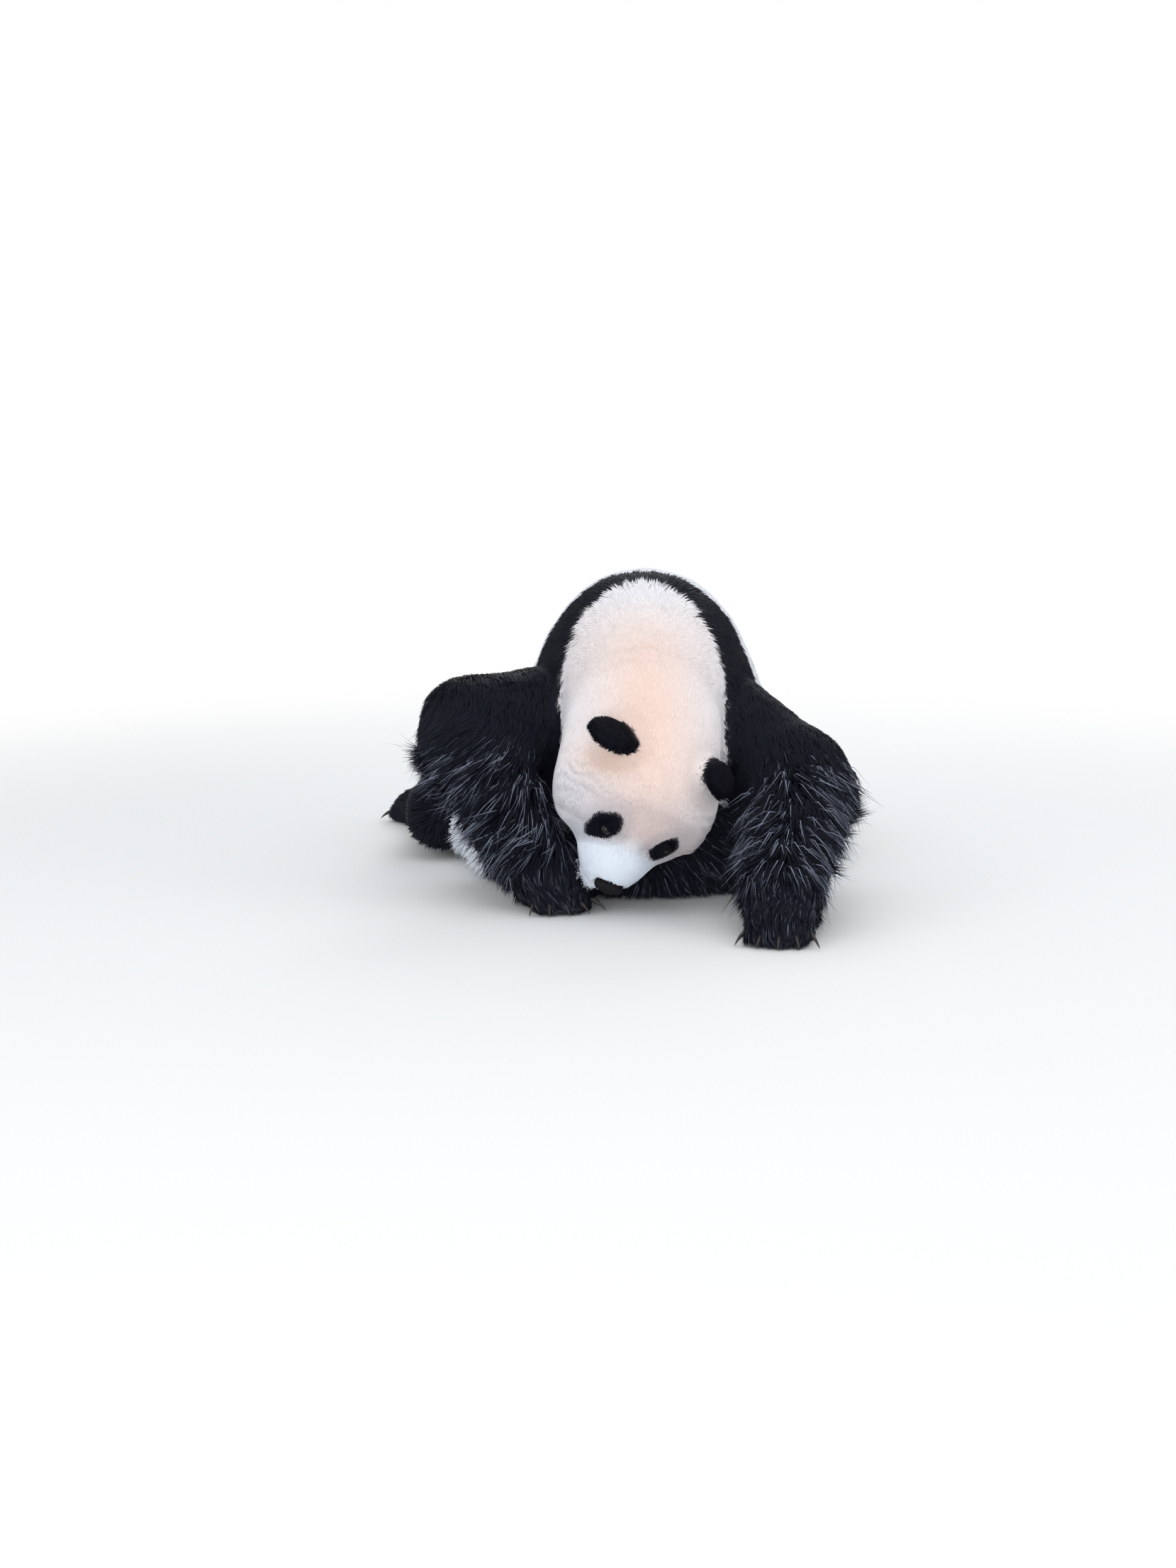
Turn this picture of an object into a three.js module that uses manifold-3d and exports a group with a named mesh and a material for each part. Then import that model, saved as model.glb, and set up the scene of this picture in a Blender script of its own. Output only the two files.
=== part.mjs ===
// Giant panda (Ailuropoda melanoleuca), a still life-size model.
// The animal has slumped on its belly: thighs spread wide with the shins folded back, elbows out,
// and the head hanging between the forelegs with its nose near the floor.
// Millimetres, +Z up. It faces -Y, so its right side is on -X. The floor is z = 0.
// The outer surface is the tips of the coat. Every shape is a field, negative inside, that is
// turned into a closed mesh; flesh is then parted by thin cuts into named pieces.
import * as THREE from 'three';
import { mergeVertices } from 'three/addons/utils/BufferGeometryUtils.js';
import Module from 'manifold-3d';

const wasm = await Module();
wasm.setup();

// ---- Driving dimensions ----

const GAP = 0.35; // left open between touching pieces
const GRIDS = [0.05, 0.04, 0.03, 0.02, 0.013, 0.007]; // spacings for the finished vertices
const HEAD_CLEARANCE = 8; // left open where the head only rests near the chest and arms
const CELL = { // mesh sizes
  trunk: 60, neck: 42, head: 28, limb: 49, paw: 30, tail: 34, hollow: 56, ear: 15, nose: 14 };

// Trunk: one ellipsoid for each mass, given by its centre and half sizes.
const SHOULDERS = { at: [44, 165, 125], half: [260, 245, 462] };
const BACK = { at: [42, 370, 150], half: [288, 300, 392] };
const RUMP = { at: [8, 570, 120], half: [285, 290, 290] };
const BELLY = { at: [10, 130, 60], half: [300, 190, 200] };
const THIGH = { at: [238, 400, 80], half: [152, 196, 146] };
const HAUNCH = { at: [168, 540, 105], half: [160, 190, 180] };
const TRUNK_BLEND = 110;
const TRUNK_BOX = [[-760, -190, -80], [760, 940, 680]];
const UNDERSIDE = { depth: 3, rim: 45 }; // how far it is cut below the floor, and how round its rim is

// Neck and head. The head has its own frame: x to its right, y out along the muzzle, z to its crown.
const NECK = { from: [36, 130, 418], to: [30, -85, 345], radius: [163, 148] };
const HEAD = { at: [28, -190, 238], roll: 18, pitch: 73, turn: 13 }; // angles in degrees
const CRANIUM = { at: [0, -20, 6], half: [124, 130, 114] };
const CHEEK = { at: [82, 20, -28], half: [74, 98, 90] };
const BROW = { at: [0, 62, 20], half: [100, 66, 56] };
const MUZZLE = { from: [0, 56, -26], to: [0, 143, -26], radius: [92, 58] };
const CHIN = { at: [0, 116, -62], half: [54, 74, 34] };
const NOSE = { at: [0, 190, -22], half: [31, 18, 21] };
const EYE = { across: 58, along: 104, sunk: 7, radius: 11, facets: [10, 6] };
const EAR = { height: 30, half: [50, 23, 41], rim: 14, reach: 60 };
const CONCHA = { height: 38, half: [40, 15, 32] };
const EAR_POSE = {
  right: { at: [102, -68, 86], lean: 46, splay: 22, turn: 14 },
  left: { at: [-87, -65, 88], lean: 58, splay: 68, turn: 26 },
};
const HEAD_REACH = 262; // from its centre to beyond the nose
const NAPE = { at: [45, -20, 400], reach: 270 }; // a ball that holds all of the neck
const SKULL_BLEND = 50;
const NECK_BLEND = 70;

// Forelegs. The right elbow is raised and its paw lies beside the chin; the left paw is set forward.
const ARM = { radius: { shoulder: 100, elbow: 95, wrist: 67 } };
const LIMB_BLEND = 40;
const LIMB_MARGIN = 160; // more than the reach of a limb's flesh about its joints
const RIGHT_ARM = {
  shoulder: [-110, 75, 338],
  elbow: [-292, -45, 318],
  wrist: [-166, -138, 96],
  paw: [-130, -142],
  heading: -74,
};
const LEFT_ARM = {
  shoulder: [150, 75, 352],
  elbow: [327, -72, 222],
  wrist: [270, -318, 96],
  paw: [262, -372],
  heading: -98,
};

// Hind legs: the shin lies back from the knee along the floor, with the foot beside the rump.
const LEG = {
  knee: [372, 310, 92],
  ankle: [396, 560, 62],
  radius: [86, 58],
  paw: [436, 645],
  heading: 60,
  cut: [0.4, 0.86, -0.33],
};

// A paw: a flat palm and its toes, set on an arc round the front of it.
const PAW = { palm: [64, 82, 50], height: 36, pivot: -34, spread: 16, web: 14, reach: 150 };
const TOE = { count: 5, at: [0, 94, 21], half: [18, 30, 25] };
const CLAW = { length: 27, radius: 6, from: 109, height: 22, drop: 18, sides: 5, rings: 2 };

const TAIL = { at: [8, 846, 138], half: [52, 50, 98], lean: 12 };

// ---- Cut planes: a point, and a normal toward the part that is cut off ----

const OCCIPUT = { through: [40, -128, 340], normal: [0, -0.93, -0.37] };
const NECK_BASE = { through: [40, -20, 500], normal: [0, -0.99, 0.12] };
const THROAT = { through: [40, -60, 182], normal: [0, 0, 1] };
const YOKE = { through: [40, 205, 560], normal: [0, -0.97, -0.22] };
const LOIN = { through: [0, 520, 300], normal: [0, 0.94, 0.34] };
const hip = (side) => ({ through: [side * 268, 420, 100], normal: [side * 0.9, 0.36, -0.18] });
const FLOOR = { through: [0, 0, 0], normal: [0, 0, -1] };

// ---- Colours of the nodes ----

const WHITE = new THREE.MeshStandardMaterial({ color: 0xe9ecf0, roughness: 0.9, metalness: 0 });
const BLACK = new THREE.MeshStandardMaterial({ color: 0x1c1c21, roughness: 0.85, metalness: 0 });
const LEATHER = new THREE.MeshStandardMaterial({ color: 0x141315, roughness: 0.45, metalness: 0 });
const HORN = new THREE.MeshStandardMaterial({ color: 0x3b342f, roughness: 0.5, metalness: 0 });
const CORNEA = new THREE.MeshStandardMaterial({ color: 0x1b120c, roughness: 0.08, metalness: 0 });

// ---- Fields ----

const vector = (values) => new THREE.Vector3(...values);

function ellipsoid({ at, half }) {
  const centre = vector(at);
  const size = vector(half);
  const smallest = Math.min(...half);
  const unit = new THREE.Vector3();
  return (point) => {
    unit.subVectors(point, centre).divide(size);
    const near = unit.length();
    const steep = unit.divide(size).length();
    return steep > 0 ? (near * (near - 1)) / steep : -smallest;
  };
}

// A capsule whose radius changes evenly between its two ends.
function taperedCapsule(from, to, radii) {
  const start = vector(from);
  const axis = vector(to).sub(start);
  const length = axis.length();
  axis.normalize();
  const slope = (radii[0] - radii[1]) / length;
  const lean = Math.sqrt(1 - slope * slope);
  const offset = new THREE.Vector3();
  return (point) => {
    offset.subVectors(point, start);
    const along = offset.dot(axis);
    const across = offset.addScaledVector(axis, -along).length();
    const share = THREE.MathUtils.clamp((along + (across * slope) / lean) / length, 0, 1);
    return Math.hypot(along - share * length, across) - THREE.MathUtils.lerp(radii[0], radii[1], share);
  };
}

function blend(width, ...fields) {
  return (point) => fields
    .map((field) => field(point))
    .reduce((a, b) => {
      const overlap = Math.max(width - Math.abs(a - b), 0) / width;
      return Math.min(a, b) - (overlap * overlap * width) / 4;
    });
}

function placed(matrix, field) {
  const inverse = matrix.clone().invert();
  const local = new THREE.Vector3();
  return (point) => field(local.copy(point).applyMatrix4(inverse));
}

// Takes a hollow out of a field and rounds its rim.
function hollowed(width, field, hollow) {
  const outside = blend(width, (point) => -field(point), hollow);
  return (point) => -outside(point);
}

const grown = (amount, field) => (point) => field(point) - amount;
const above = (height, field) => (point) => Math.max(field(point), height - point.z);
const within = (ball, field) => (point) => Math.max(field(point), ball.distanceToPoint(point));
const mirrored = ({ at, ...rest }, side) => ({ at: [at[0] * side, at[1], at[2]], ...rest });

// ---- Meshing ----

// Surface nets: one vertex in each cell that the surface crosses, drawn onto the surface, and one
// quad round each grid edge whose ends lie on different sides of it.
function polygonise(field, room, cell) {
  const box = room.clone().expandByScalar(2 * cell);
  const count = box.getSize(new THREE.Vector3()).divideScalar(cell).ceil().addScalar(1);
  const [nx, ny, nz] = count.toArray();
  const at = (i, j, k) => i + nx * (j + ny * k);
  const corner = (i, j, k) => new THREE.Vector3(i, j, k).multiplyScalar(cell).add(box.min);
  const values = new Float64Array(nx * ny * nz);
  for (let k = 0; k < nz; k++) {
    for (let j = 0; j < ny; j++) {
      for (let i = 0; i < nx; i++) values[at(i, j, k)] = field(corner(i, j, k));
    }
  }

  const positions = [];
  const vertexOf = new Int32Array(nx * ny * nz).fill(-1);
  for (let k = 0; k < nz - 1; k++) {
    for (let j = 0; j < ny - 1; j++) {
      for (let i = 0; i < nx - 1; i++) {
        const crossing = cellCrossing(values, at, corner, i, j, k);
        if (!crossing) continue;
        vertexOf[at(i, j, k)] = positions.length / 3;
        positions.push(...drawnOnto(field, crossing, cell).toArray());
      }
    }
  }

  const faces = [];
  const place = (vertex) => new THREE.Vector3().fromArray(positions, vertex * 3);
  const apart = (a, b) => place(a).distanceToSquared(place(b));
  const steps = [[1, 0, 0], [0, 1, 0], [0, 0, 1]];
  for (let k = 1; k < nz - 1; k++) {
    for (let j = 1; j < ny - 1; j++) {
      for (let i = 1; i < nx - 1; i++) {
        steps.forEach(([dx, dy, dz], axis) => {
          const inside = values[at(i, j, k)] < 0;
          if (inside === values[at(i + dx, j + dy, k + dz)] < 0) return;
          const [u, v] = [steps[(axis + 1) % 3], steps[(axis + 2) % 3]];
          const ring = [[0, 0], [1, 0], [1, 1], [0, 1]].map(([a, b]) => (
            vertexOf[at(i - a * u[0] - b * v[0], j - a * u[1] - b * v[1], k - a * u[2] - b * v[2])]
          ));
          if (!inside) ring.reverse();
          if (apart(ring[0], ring[2]) > apart(ring[1], ring[3])) ring.push(ring.shift());
          faces.push(ring[0], ring[1], ring[2], ring[0], ring[2], ring[3]);
        });
      }
    }
  }
  const geometry = new THREE.BufferGeometry();
  geometry.setAttribute('position', new THREE.Float32BufferAttribute(positions, 3));
  geometry.setIndex(faces);
  return geometry;
}

// A coarse cell can pinch the surface along an edge, and a slightly finer one is used then.
const FINER = 0.97;
function closedSurface(field, box, cell) {
  const surface = polygonise(field, box, cell);
  return isClosed(surface) ? surface : closedSurface(field, box, cell * FINER);
}

// The mean of the points where the surface crosses a cell's twelve edges, or null if it doesn't.
function cellCrossing(values, at, corner, i, j, k) {
  const mean = new THREE.Vector3();
  let crossings = 0;
  for (let edge = 0; edge < 12; edge++) {
    const axis = edge >> 2;
    const start = [0, 0, 0];
    start[(axis + 1) % 3] = edge & 1;
    start[(axis + 2) % 3] = (edge >> 1) & 1;
    const end = [...start];
    end[axis] = 1;
    const a = values[at(i + start[0], j + start[1], k + start[2])];
    const b = values[at(i + end[0], j + end[1], k + end[2])];
    if (a < 0 === b < 0) continue;
    const first = corner(i + start[0], j + start[1], k + start[2]);
    const last = corner(i + end[0], j + end[1], k + end[2]);
    mean.add(first.lerp(last, a / (a - b)));
    crossings += 1;
  }
  return crossings ? mean.divideScalar(crossings) : null;
}

// Moves a point down the slope of the field, by less than half a cell, until it is on the surface.
function drawnOnto(field, point, cell) {
  const step = cell / 50;
  const start = point.clone();
  for (let pass = 0; pass < 3; pass++) {
    const value = field(point);
    const slope = new THREE.Vector3(...['x', 'y', 'z'].map((axis) => {
      const beside = point.clone();
      beside[axis] += step;
      return (field(beside) - value) / step;
    }));
    if (slope.lengthSq() < 0.01) break;
    point.addScaledVector(slope, -value / slope.lengthSq());
  }
  point.sub(start).clampLength(0, cell * 0.45);
  return point.add(start);
}

// ---- Solids ----

function solidOf(geometry) {
  const bare = geometry.clone();
  bare.deleteAttribute('normal');
  bare.deleteAttribute('uv');
  const merged = mergeVertices(bare, 1e-3);
  return new wasm.Manifold(new wasm.Mesh({
    numProp: 3,
    vertProperties: new Float32Array(merged.attributes.position.array),
    triVerts: new Uint32Array(merged.index.array),
  }));
}

// Puts vertices on a grid, so that the slivers a cut leaves close up completely.
function gridded(mesh, grid) {
  const place = Float32Array.from(mesh.vertProperties, (value) => Math.round(value / grid) * grid);
  const geometry = new THREE.BufferGeometry();
  geometry.setAttribute('position', new THREE.BufferAttribute(place, 3));
  geometry.setIndex(new THREE.BufferAttribute(new Uint32Array(mesh.triVerts), 1));
  const merged = mergeVertices(geometry, grid / 10);
  const corners = merged.index.array;
  const faces = [];
  for (let i = 0; i < corners.length; i += 3) {
    const face = [corners[i], corners[i + 1], corners[i + 2]];
    if (new Set(face).size === 3) faces.push(...face);
  }
  merged.setIndex(faces);
  return merged;
}

// Whether each edge has one face on either side of it.
function isClosed(geometry) {
  const corners = geometry.index.array;
  const edges = new Set();
  for (let i = 0; i < corners.length; i += 3) {
    for (let side = 0; side < 3; side++) {
      edges.add(corners[i + side] * geometry.attributes.position.count + corners[i + ((side + 1) % 3)]);
    }
  }
  return edges.size === corners.length;
}

// The coarsest grid that doesn't pinch the surface is used.
function geometryOf(solid) {
  const mesh = solid.getMesh();
  const geometry = GRIDS.map((grid) => gridded(mesh, grid)).find(isClosed);
  const flat = geometry.toNonIndexed();
  flat.computeVertexNormals();
  return flat;
}

// A block that fills the side of a plane toward which its normal points.
const BLOCK = 3000;
function beyond({ through, normal }, offset = GAP / 2) {
  const direction = vector(normal).normalize();
  const turn = new THREE.Quaternion().setFromUnitVectors(new THREE.Vector3(0, 0, 1), direction);
  const centre = vector(through).addScaledVector(direction, BLOCK / 2 + offset);
  const block = new THREE.BoxGeometry(BLOCK, BLOCK, BLOCK);
  block.applyQuaternion(turn).translate(...centre.toArray());
  return solidOf(block);
}

// What a plane cuts off a solid, and what it leaves, with half of the gap taken from each.
const cutOff = (solid, plane) => solid.intersect(beyond(plane));
const left = (solid, plane) => solid.subtract(beyond(plane, -GAP / 2));

// Moves each vertex out along its normal, so that the faces move out side by side.
function swollen(geometry, amount) {
  const larger = geometry.clone();
  larger.computeVertexNormals();
  const { position, normal } = larger.attributes;
  for (let i = 0; i < position.count; i++) {
    const out = new THREE.Vector3().fromBufferAttribute(normal, i).multiplyScalar(amount);
    position.setXYZ(i, position.getX(i) + out.x, position.getY(i) + out.y, position.getZ(i) + out.z);
  }
  return larger;
}

// A flesh mass at its own size, and the room it needs in its neighbours.
function flesh(field, box, cell) {
  const surface = closedSurface(field, box, cell);
  return {
    solid: solidOf(surface).subtract(beyond(FLOOR, 0)),
    room: solidOf(swollen(surface, GAP * 1.3)),
  };
}

const boxOf = (ball) => ball.getBoundingBox(new THREE.Box3());
const boxAround = (points, margin) => (
  new THREE.Box3().setFromPoints(points.map(vector)).expandByScalar(margin)
);

// ---- Frames ----

const radians = THREE.MathUtils.degToRad;
const turned = (axis, degrees) => new THREE.Matrix4()[`makeRotation${axis}`](radians(degrees));

// Level, the head would look along -Y. It is turned about its muzzle, pitched down, then rolled.
const headFrame = turned('Y', HEAD.roll)
  .multiply(turned('X', HEAD.pitch))
  .multiply(turned('Z', 180))
  .multiply(turned('Y', -HEAD.turn))
  .setPosition(...HEAD.at);

function earFrame(side, { at, lean, splay, turn }) {
  return headFrame.clone()
    .multiply(new THREE.Matrix4().makeTranslation(...at))
    .multiply(turned('Y', side * splay))
    .multiply(turned('X', -lean))
    .multiply(turned('Z', -side * turn));
}

const pawFrame = ([x, y], heading) => turned('Z', heading - 90).setPosition(x, y, 0);

// ---- Fields of the body ----

const sides = [1, -1];
const neckColumn = taperedCapsule(NECK.from, NECK.to, NECK.radius);
const trunkMasses = blend(
  TRUNK_BLEND,
  ...[SHOULDERS, BACK, RUMP, BELLY].map(ellipsoid),
  ...sides.flatMap((side) => [THIGH, HAUNCH].map((mass) => ellipsoid(mirrored(mass, side)))),
  neckColumn,
);
const trunkField = hollowed(UNDERSIDE.rim, trunkMasses, (point) => point.z + UNDERSIDE.depth);

const bareSkull = blend(
  SKULL_BLEND,
  ellipsoid(CRANIUM),
  ...sides.map((side) => ellipsoid(mirrored(CHEEK, side))),
  ellipsoid(BROW),
  taperedCapsule(MUZZLE.from, MUZZLE.to, MUZZLE.radius),
  ellipsoid(CHIN),
);
const skullField = placed(headFrame, bareSkull);

// The height of the face's surface over a place between the head's sides and its muzzle.
function faceHeight(across, along) {
  const point = new THREE.Vector3(across, along, HEAD_REACH);
  while (bareSkull(point) > 0) point.z -= 0.5;
  return point.z;
}

const headField = blend(NECK_BLEND, skullField, neckColumn);
const napeField = blend(NECK_BLEND, skullField, trunkField);

// A toe's own frame, its y axis pointing out along the toe from the heel of the paw.
const toeFrames = Array.from({ length: TOE.count }, (_, toe) => (
  turned('Z', ((TOE.count - 1) / 2 - toe) * PAW.spread)
    .premultiply(new THREE.Matrix4().makeTranslation(0, PAW.pivot, 0))
));

function pawField(frame) {
  const palm = ellipsoid({ at: [0, 0, PAW.height], half: PAW.palm });
  const toes = toeFrames.map((toeFrame) => placed(toeFrame, ellipsoid(TOE)));
  return placed(frame, blend(PAW.web, palm, ...toes));
}

const earShell = hollowed(
  EAR.rim,
  ellipsoid({ at: [0, 0, EAR.height], half: EAR.half }),
  ellipsoid({ at: [0, EAR.half[1], CONCHA.height], half: CONCHA.half }),
);

const tailField = placed(
  turned('X', TAIL.lean).setPosition(...TAIL.at),
  ellipsoid({ at: [0, 0, 0], half: TAIL.half }),
);

// ---- Nodes ----

const panda = new THREE.Group();

function addNode(name, solid, material) {
  const mesh = new THREE.Mesh(geometryOf(solid), material.clone());
  mesh.name = name;
  panda.add(mesh);
}

// Trunk, neck and head: the neck takes the place of the trunk's front above the throat.
const trunk = flesh(trunkField, new THREE.Box3(...TRUNK_BOX.map(vector)), CELL.trunk);
const headBall = new THREE.Sphere(vector(HEAD.at), HEAD_REACH);
const skull = flesh(within(headBall, headField), boxOf(headBall), CELL.head);
const napeBall = new THREE.Sphere(vector(NAPE.at), NAPE.reach);
const nape = flesh(
  above(THROAT.through[2] - CELL.neck, within(napeBall, napeField)),
  boxOf(napeBall),
  CELL.neck,
);

// A plainer hollow round the head, for what lies behind and beside it.
const headHollow = solidOf(closedSurface(
  grown(HEAD_CLEARANCE, within(headBall, headField)),
  boxOf(headBall),
  CELL.hollow,
));

const neckSpace = beyond(NECK_BASE, -GAP / 2).intersect(beyond(THROAT, -GAP / 2));
const torso = trunk.solid.subtract(neckSpace).subtract(headHollow);
addNode('thigh_right', cutOff(torso, hip(-1)), BLACK);
addNode('thigh_left', cutOff(torso, hip(1)), BLACK);
const barrel = left(left(torso, hip(-1)), hip(1));
addNode('chest', cutOff(barrel, YOKE), BLACK);
addNode('rump', cutOff(barrel, LOIN), WHITE);
addNode('trunk', left(left(barrel, YOKE), LOIN), WHITE);
addNode('neck', left(cutOff(cutOff(nape.solid, NECK_BASE), THROAT), OCCIPUT), WHITE);

// Nose, eyes and ears are set in pockets of the head.
const nose = placed(headFrame, ellipsoid(NOSE));
const noseBall = new THREE.Sphere(vector(NOSE.at).applyMatrix4(headFrame), NOSE.half[0]);
let face = cutOff(skull.solid, OCCIPUT);
const nosePad = flesh(nose, boxOf(noseBall), CELL.nose);
addNode('nose', nosePad.solid, LEATHER);
face = face.subtract(nosePad.room);
const eyeHeight = faceHeight(EYE.across, EYE.along) - EYE.sunk;
[['right', 1], ['left', -1]].forEach(([name, side]) => {
  const eye = [EYE.radius, EYE.radius + GAP].map((radius) => {
    const ball = new THREE.SphereGeometry(radius, ...EYE.facets);
    ball.translate(side * EYE.across, EYE.along, eyeHeight).applyMatrix4(headFrame);
    return solidOf(ball);
  });
  addNode(`eye_${name}`, eye[0], CORNEA);
  face = face.subtract(eye[1]);
  const frame = earFrame(side, EAR_POSE[name]);
  const centre = new THREE.Vector3(0, 0, EAR.height).applyMatrix4(frame);
  const ear = flesh(placed(frame, earShell), boxOf(new THREE.Sphere(centre, EAR.reach)), CELL.ear);
  addNode(`ear_${name}`, ear.solid.subtract(skull.room), BLACK);
});
addNode('head', face, WHITE);

// ---- Limbs ----

function clawGeometry() {
  const profile = Array.from({ length: CLAW.rings + 1 }, (_, ring) => {
    const along = ring / CLAW.rings;
    return new THREE.Vector2(CLAW.radius * Math.sqrt(1 - along), along * CLAW.length);
  });
  const claw = new THREE.LatheGeometry([new THREE.Vector2(0, 0), ...profile], CLAW.sides);
  const place = claw.attributes.position;
  for (let i = 0; i < place.count; i++) {
    const along = place.getY(i) / CLAW.length;
    place.setZ(i, place.getZ(i) - CLAW.drop * along * along);
  }
  return claw.translate(0, CLAW.from, CLAW.height);
}

function addClaws(name, frame, paw) {
  toeFrames.forEach((toeFrame, toe) => {
    const claw = clawGeometry().applyMatrix4(frame.clone().multiply(toeFrame));
    addNode(`claw_${name}_${toe + 1}`, solidOf(claw).subtract(paw), HORN);
  });
}

function bisector(a, b, c) {
  const before = vector(b).sub(vector(a)).normalize();
  const after = vector(c).sub(vector(b)).normalize();
  return { through: b, normal: before.add(after).toArray() };
}

// The end of a limb, meshed more finely than the rest of it.
function pawFlesh(field, [x, y]) {
  const ball = new THREE.Sphere(new THREE.Vector3(x, y, PAW.height), PAW.reach);
  return flesh(above(-CELL.paw, within(ball, field)), boxOf(ball), CELL.paw);
}

const besideBody = (solid) => solid.subtract(trunk.room).subtract(headHollow);

function addForeleg(name, { shoulder, elbow, wrist, paw, heading }) {
  const frame = pawFrame(paw, heading);
  const { radius } = ARM;
  const field = blend(
    LIMB_BLEND,
    taperedCapsule(shoulder, elbow, [radius.shoulder, radius.elbow]),
    taperedCapsule(elbow, wrist, [radius.elbow, radius.wrist]),
    pawField(frame),
  );
  const arm = flesh(above(-CELL.limb, field), boxAround([shoulder, elbow, wrist], LIMB_MARGIN), CELL.limb);
  const hand = pawFlesh(field, paw);
  const elbowCut = bisector(shoulder, elbow, wrist);
  const wristCut = { through: wrist, normal: [paw[0] - wrist[0], paw[1] - wrist[1], -wrist[2]] };
  addNode(`upper_arm_${name}`, besideBody(left(arm.solid, elbowCut)).subtract(nape.room), BLACK);
  addNode(`forearm_${name}`, left(cutOff(arm.solid, elbowCut), wristCut).subtract(trunk.room), BLACK);
  addNode(`forepaw_${name}`, cutOff(hand.solid, wristCut).subtract(trunk.room), BLACK);
  addClaws(`front_${name}`, frame, hand.room);
}

function addHindLeg(name, side) {
  const mirror = ([x, ...rest]) => [side * x, ...rest];
  const frame = pawFrame(mirror(LEG.paw), side > 0 ? LEG.heading : 180 - LEG.heading);
  const [knee, ankle] = [mirror(LEG.knee), mirror(LEG.ankle)];
  const field = blend(LIMB_BLEND, taperedCapsule(knee, ankle, LEG.radius), pawField(frame));
  const leg = flesh(above(-CELL.limb, field), boxAround([knee, ankle], LIMB_MARGIN), CELL.limb);
  const foot = pawFlesh(field, mirror(LEG.paw));
  const ankleCut = { through: ankle, normal: mirror(LEG.cut) };
  addNode(`shin_${name}`, left(leg.solid, ankleCut).subtract(trunk.room), BLACK);
  addNode(`hindpaw_${name}`, cutOff(foot.solid, ankleCut).subtract(trunk.room), BLACK);
  addClaws(`hind_${name}`, frame, foot.room);
}

addForeleg('right', RIGHT_ARM);
addForeleg('left', LEFT_ARM);
addHindLeg('right', -1);
addHindLeg('left', 1);

const tail = flesh(tailField, boxAround([TAIL.at], LIMB_MARGIN), CELL.tail);
addNode('tail', tail.solid.subtract(trunk.room), WHITE);

// The origin is under the middle of the whole animal, on the floor.
const middle = new THREE.Box3().setFromObject(panda).getCenter(new THREE.Vector3());
panda.position.set(-middle.x, -middle.y, 0);

export default panda;
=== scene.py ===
"""A giant panda slumped on its belly: one skin under a coat of solid tufts, with eyes, nose and claws."""
import math

import bpy
import numpy as np
from bpy.props import FloatProperty, FloatVectorProperty, IntProperty, PointerProperty
from mathutils import Matrix, Vector, noise
from mathutils.bvhtree import BVHTree


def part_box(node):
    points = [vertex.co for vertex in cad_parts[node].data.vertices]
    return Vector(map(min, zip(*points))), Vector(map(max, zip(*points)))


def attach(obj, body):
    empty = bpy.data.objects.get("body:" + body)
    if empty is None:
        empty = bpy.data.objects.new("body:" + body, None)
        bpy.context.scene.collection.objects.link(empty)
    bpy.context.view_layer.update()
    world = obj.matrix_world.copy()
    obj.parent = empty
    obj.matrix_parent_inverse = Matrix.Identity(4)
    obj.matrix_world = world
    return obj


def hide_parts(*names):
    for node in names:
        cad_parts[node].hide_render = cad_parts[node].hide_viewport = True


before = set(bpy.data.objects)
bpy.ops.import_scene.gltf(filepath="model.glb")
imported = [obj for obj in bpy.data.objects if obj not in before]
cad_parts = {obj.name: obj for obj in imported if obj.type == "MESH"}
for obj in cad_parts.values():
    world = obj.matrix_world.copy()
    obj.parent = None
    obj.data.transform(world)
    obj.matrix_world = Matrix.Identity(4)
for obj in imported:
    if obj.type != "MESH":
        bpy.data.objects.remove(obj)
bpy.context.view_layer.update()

bl_info = {
    "name": "Giant panda",
    "version": (1, 0, 0),
    "blender": (4, 5, 0),
    "location": "View3D > Sidebar > Panda",
    "description": "Builds the skin, coat, eyes, nose and claws of a still giant panda",
    "category": "Object",
}

# ---- Where things lie ----

FLESH = [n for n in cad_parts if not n.startswith(("eye", "nose", "claw"))]
EYES = ("eye_right", "eye_left")
CLAWS = [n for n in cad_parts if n.startswith("claw")]


def centre_of(node):
    low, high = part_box(node)
    return (low + high) / 2


def spot(node):
    return np.array(centre_of(node))


def distance_to(place, points):
    return np.linalg.norm(points - place, axis=1)


# The head is turned about its muzzle, pitched down and rolled. Its own axes are x to the
# animal's right, y out along the muzzle and z to the crown.
HEAD_ROLL, HEAD_PITCH, HEAD_TURN = 18, 73, 13
HEAD_AXES = (Matrix.Rotation(math.radians(HEAD_ROLL), 3, "Y")
             @ Matrix.Rotation(math.radians(HEAD_PITCH), 3, "X")
             @ Matrix.Rotation(math.pi, 3, "Z")
             @ Matrix.Rotation(math.radians(-HEAD_TURN), 3, "Y"))
NOSE_IN_HEAD = Vector((0, 0.190, -0.022))
HEAD_AT = centre_of("nose") - HEAD_AXES @ NOSE_IN_HEAD
BODY_ORIGIN = HEAD_AT - Vector((0.028, -0.190, 0.238))  # markings are placed from here


def in_head(points):
    """Points of the frame in the head's own axes, in metres."""
    return (points - np.array(HEAD_AT)) @ np.array(HEAD_AXES)


def unit(vectors):
    return vectors / np.maximum(np.linalg.norm(vectors, axis=-1, keepdims=True), 1e-9)


def smooth_step(low, high, values):
    t = np.clip((values - low) / (high - low), 0, 1)
    return t * t * (3 - 2 * t)


def bump_at(points, centre, spread):
    """1 at the centre, falling away evenly with distance measured in units of spread."""
    return np.exp(-(((points - np.array(centre)) / np.array(spread)) ** 2).sum(axis=-1))


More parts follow.
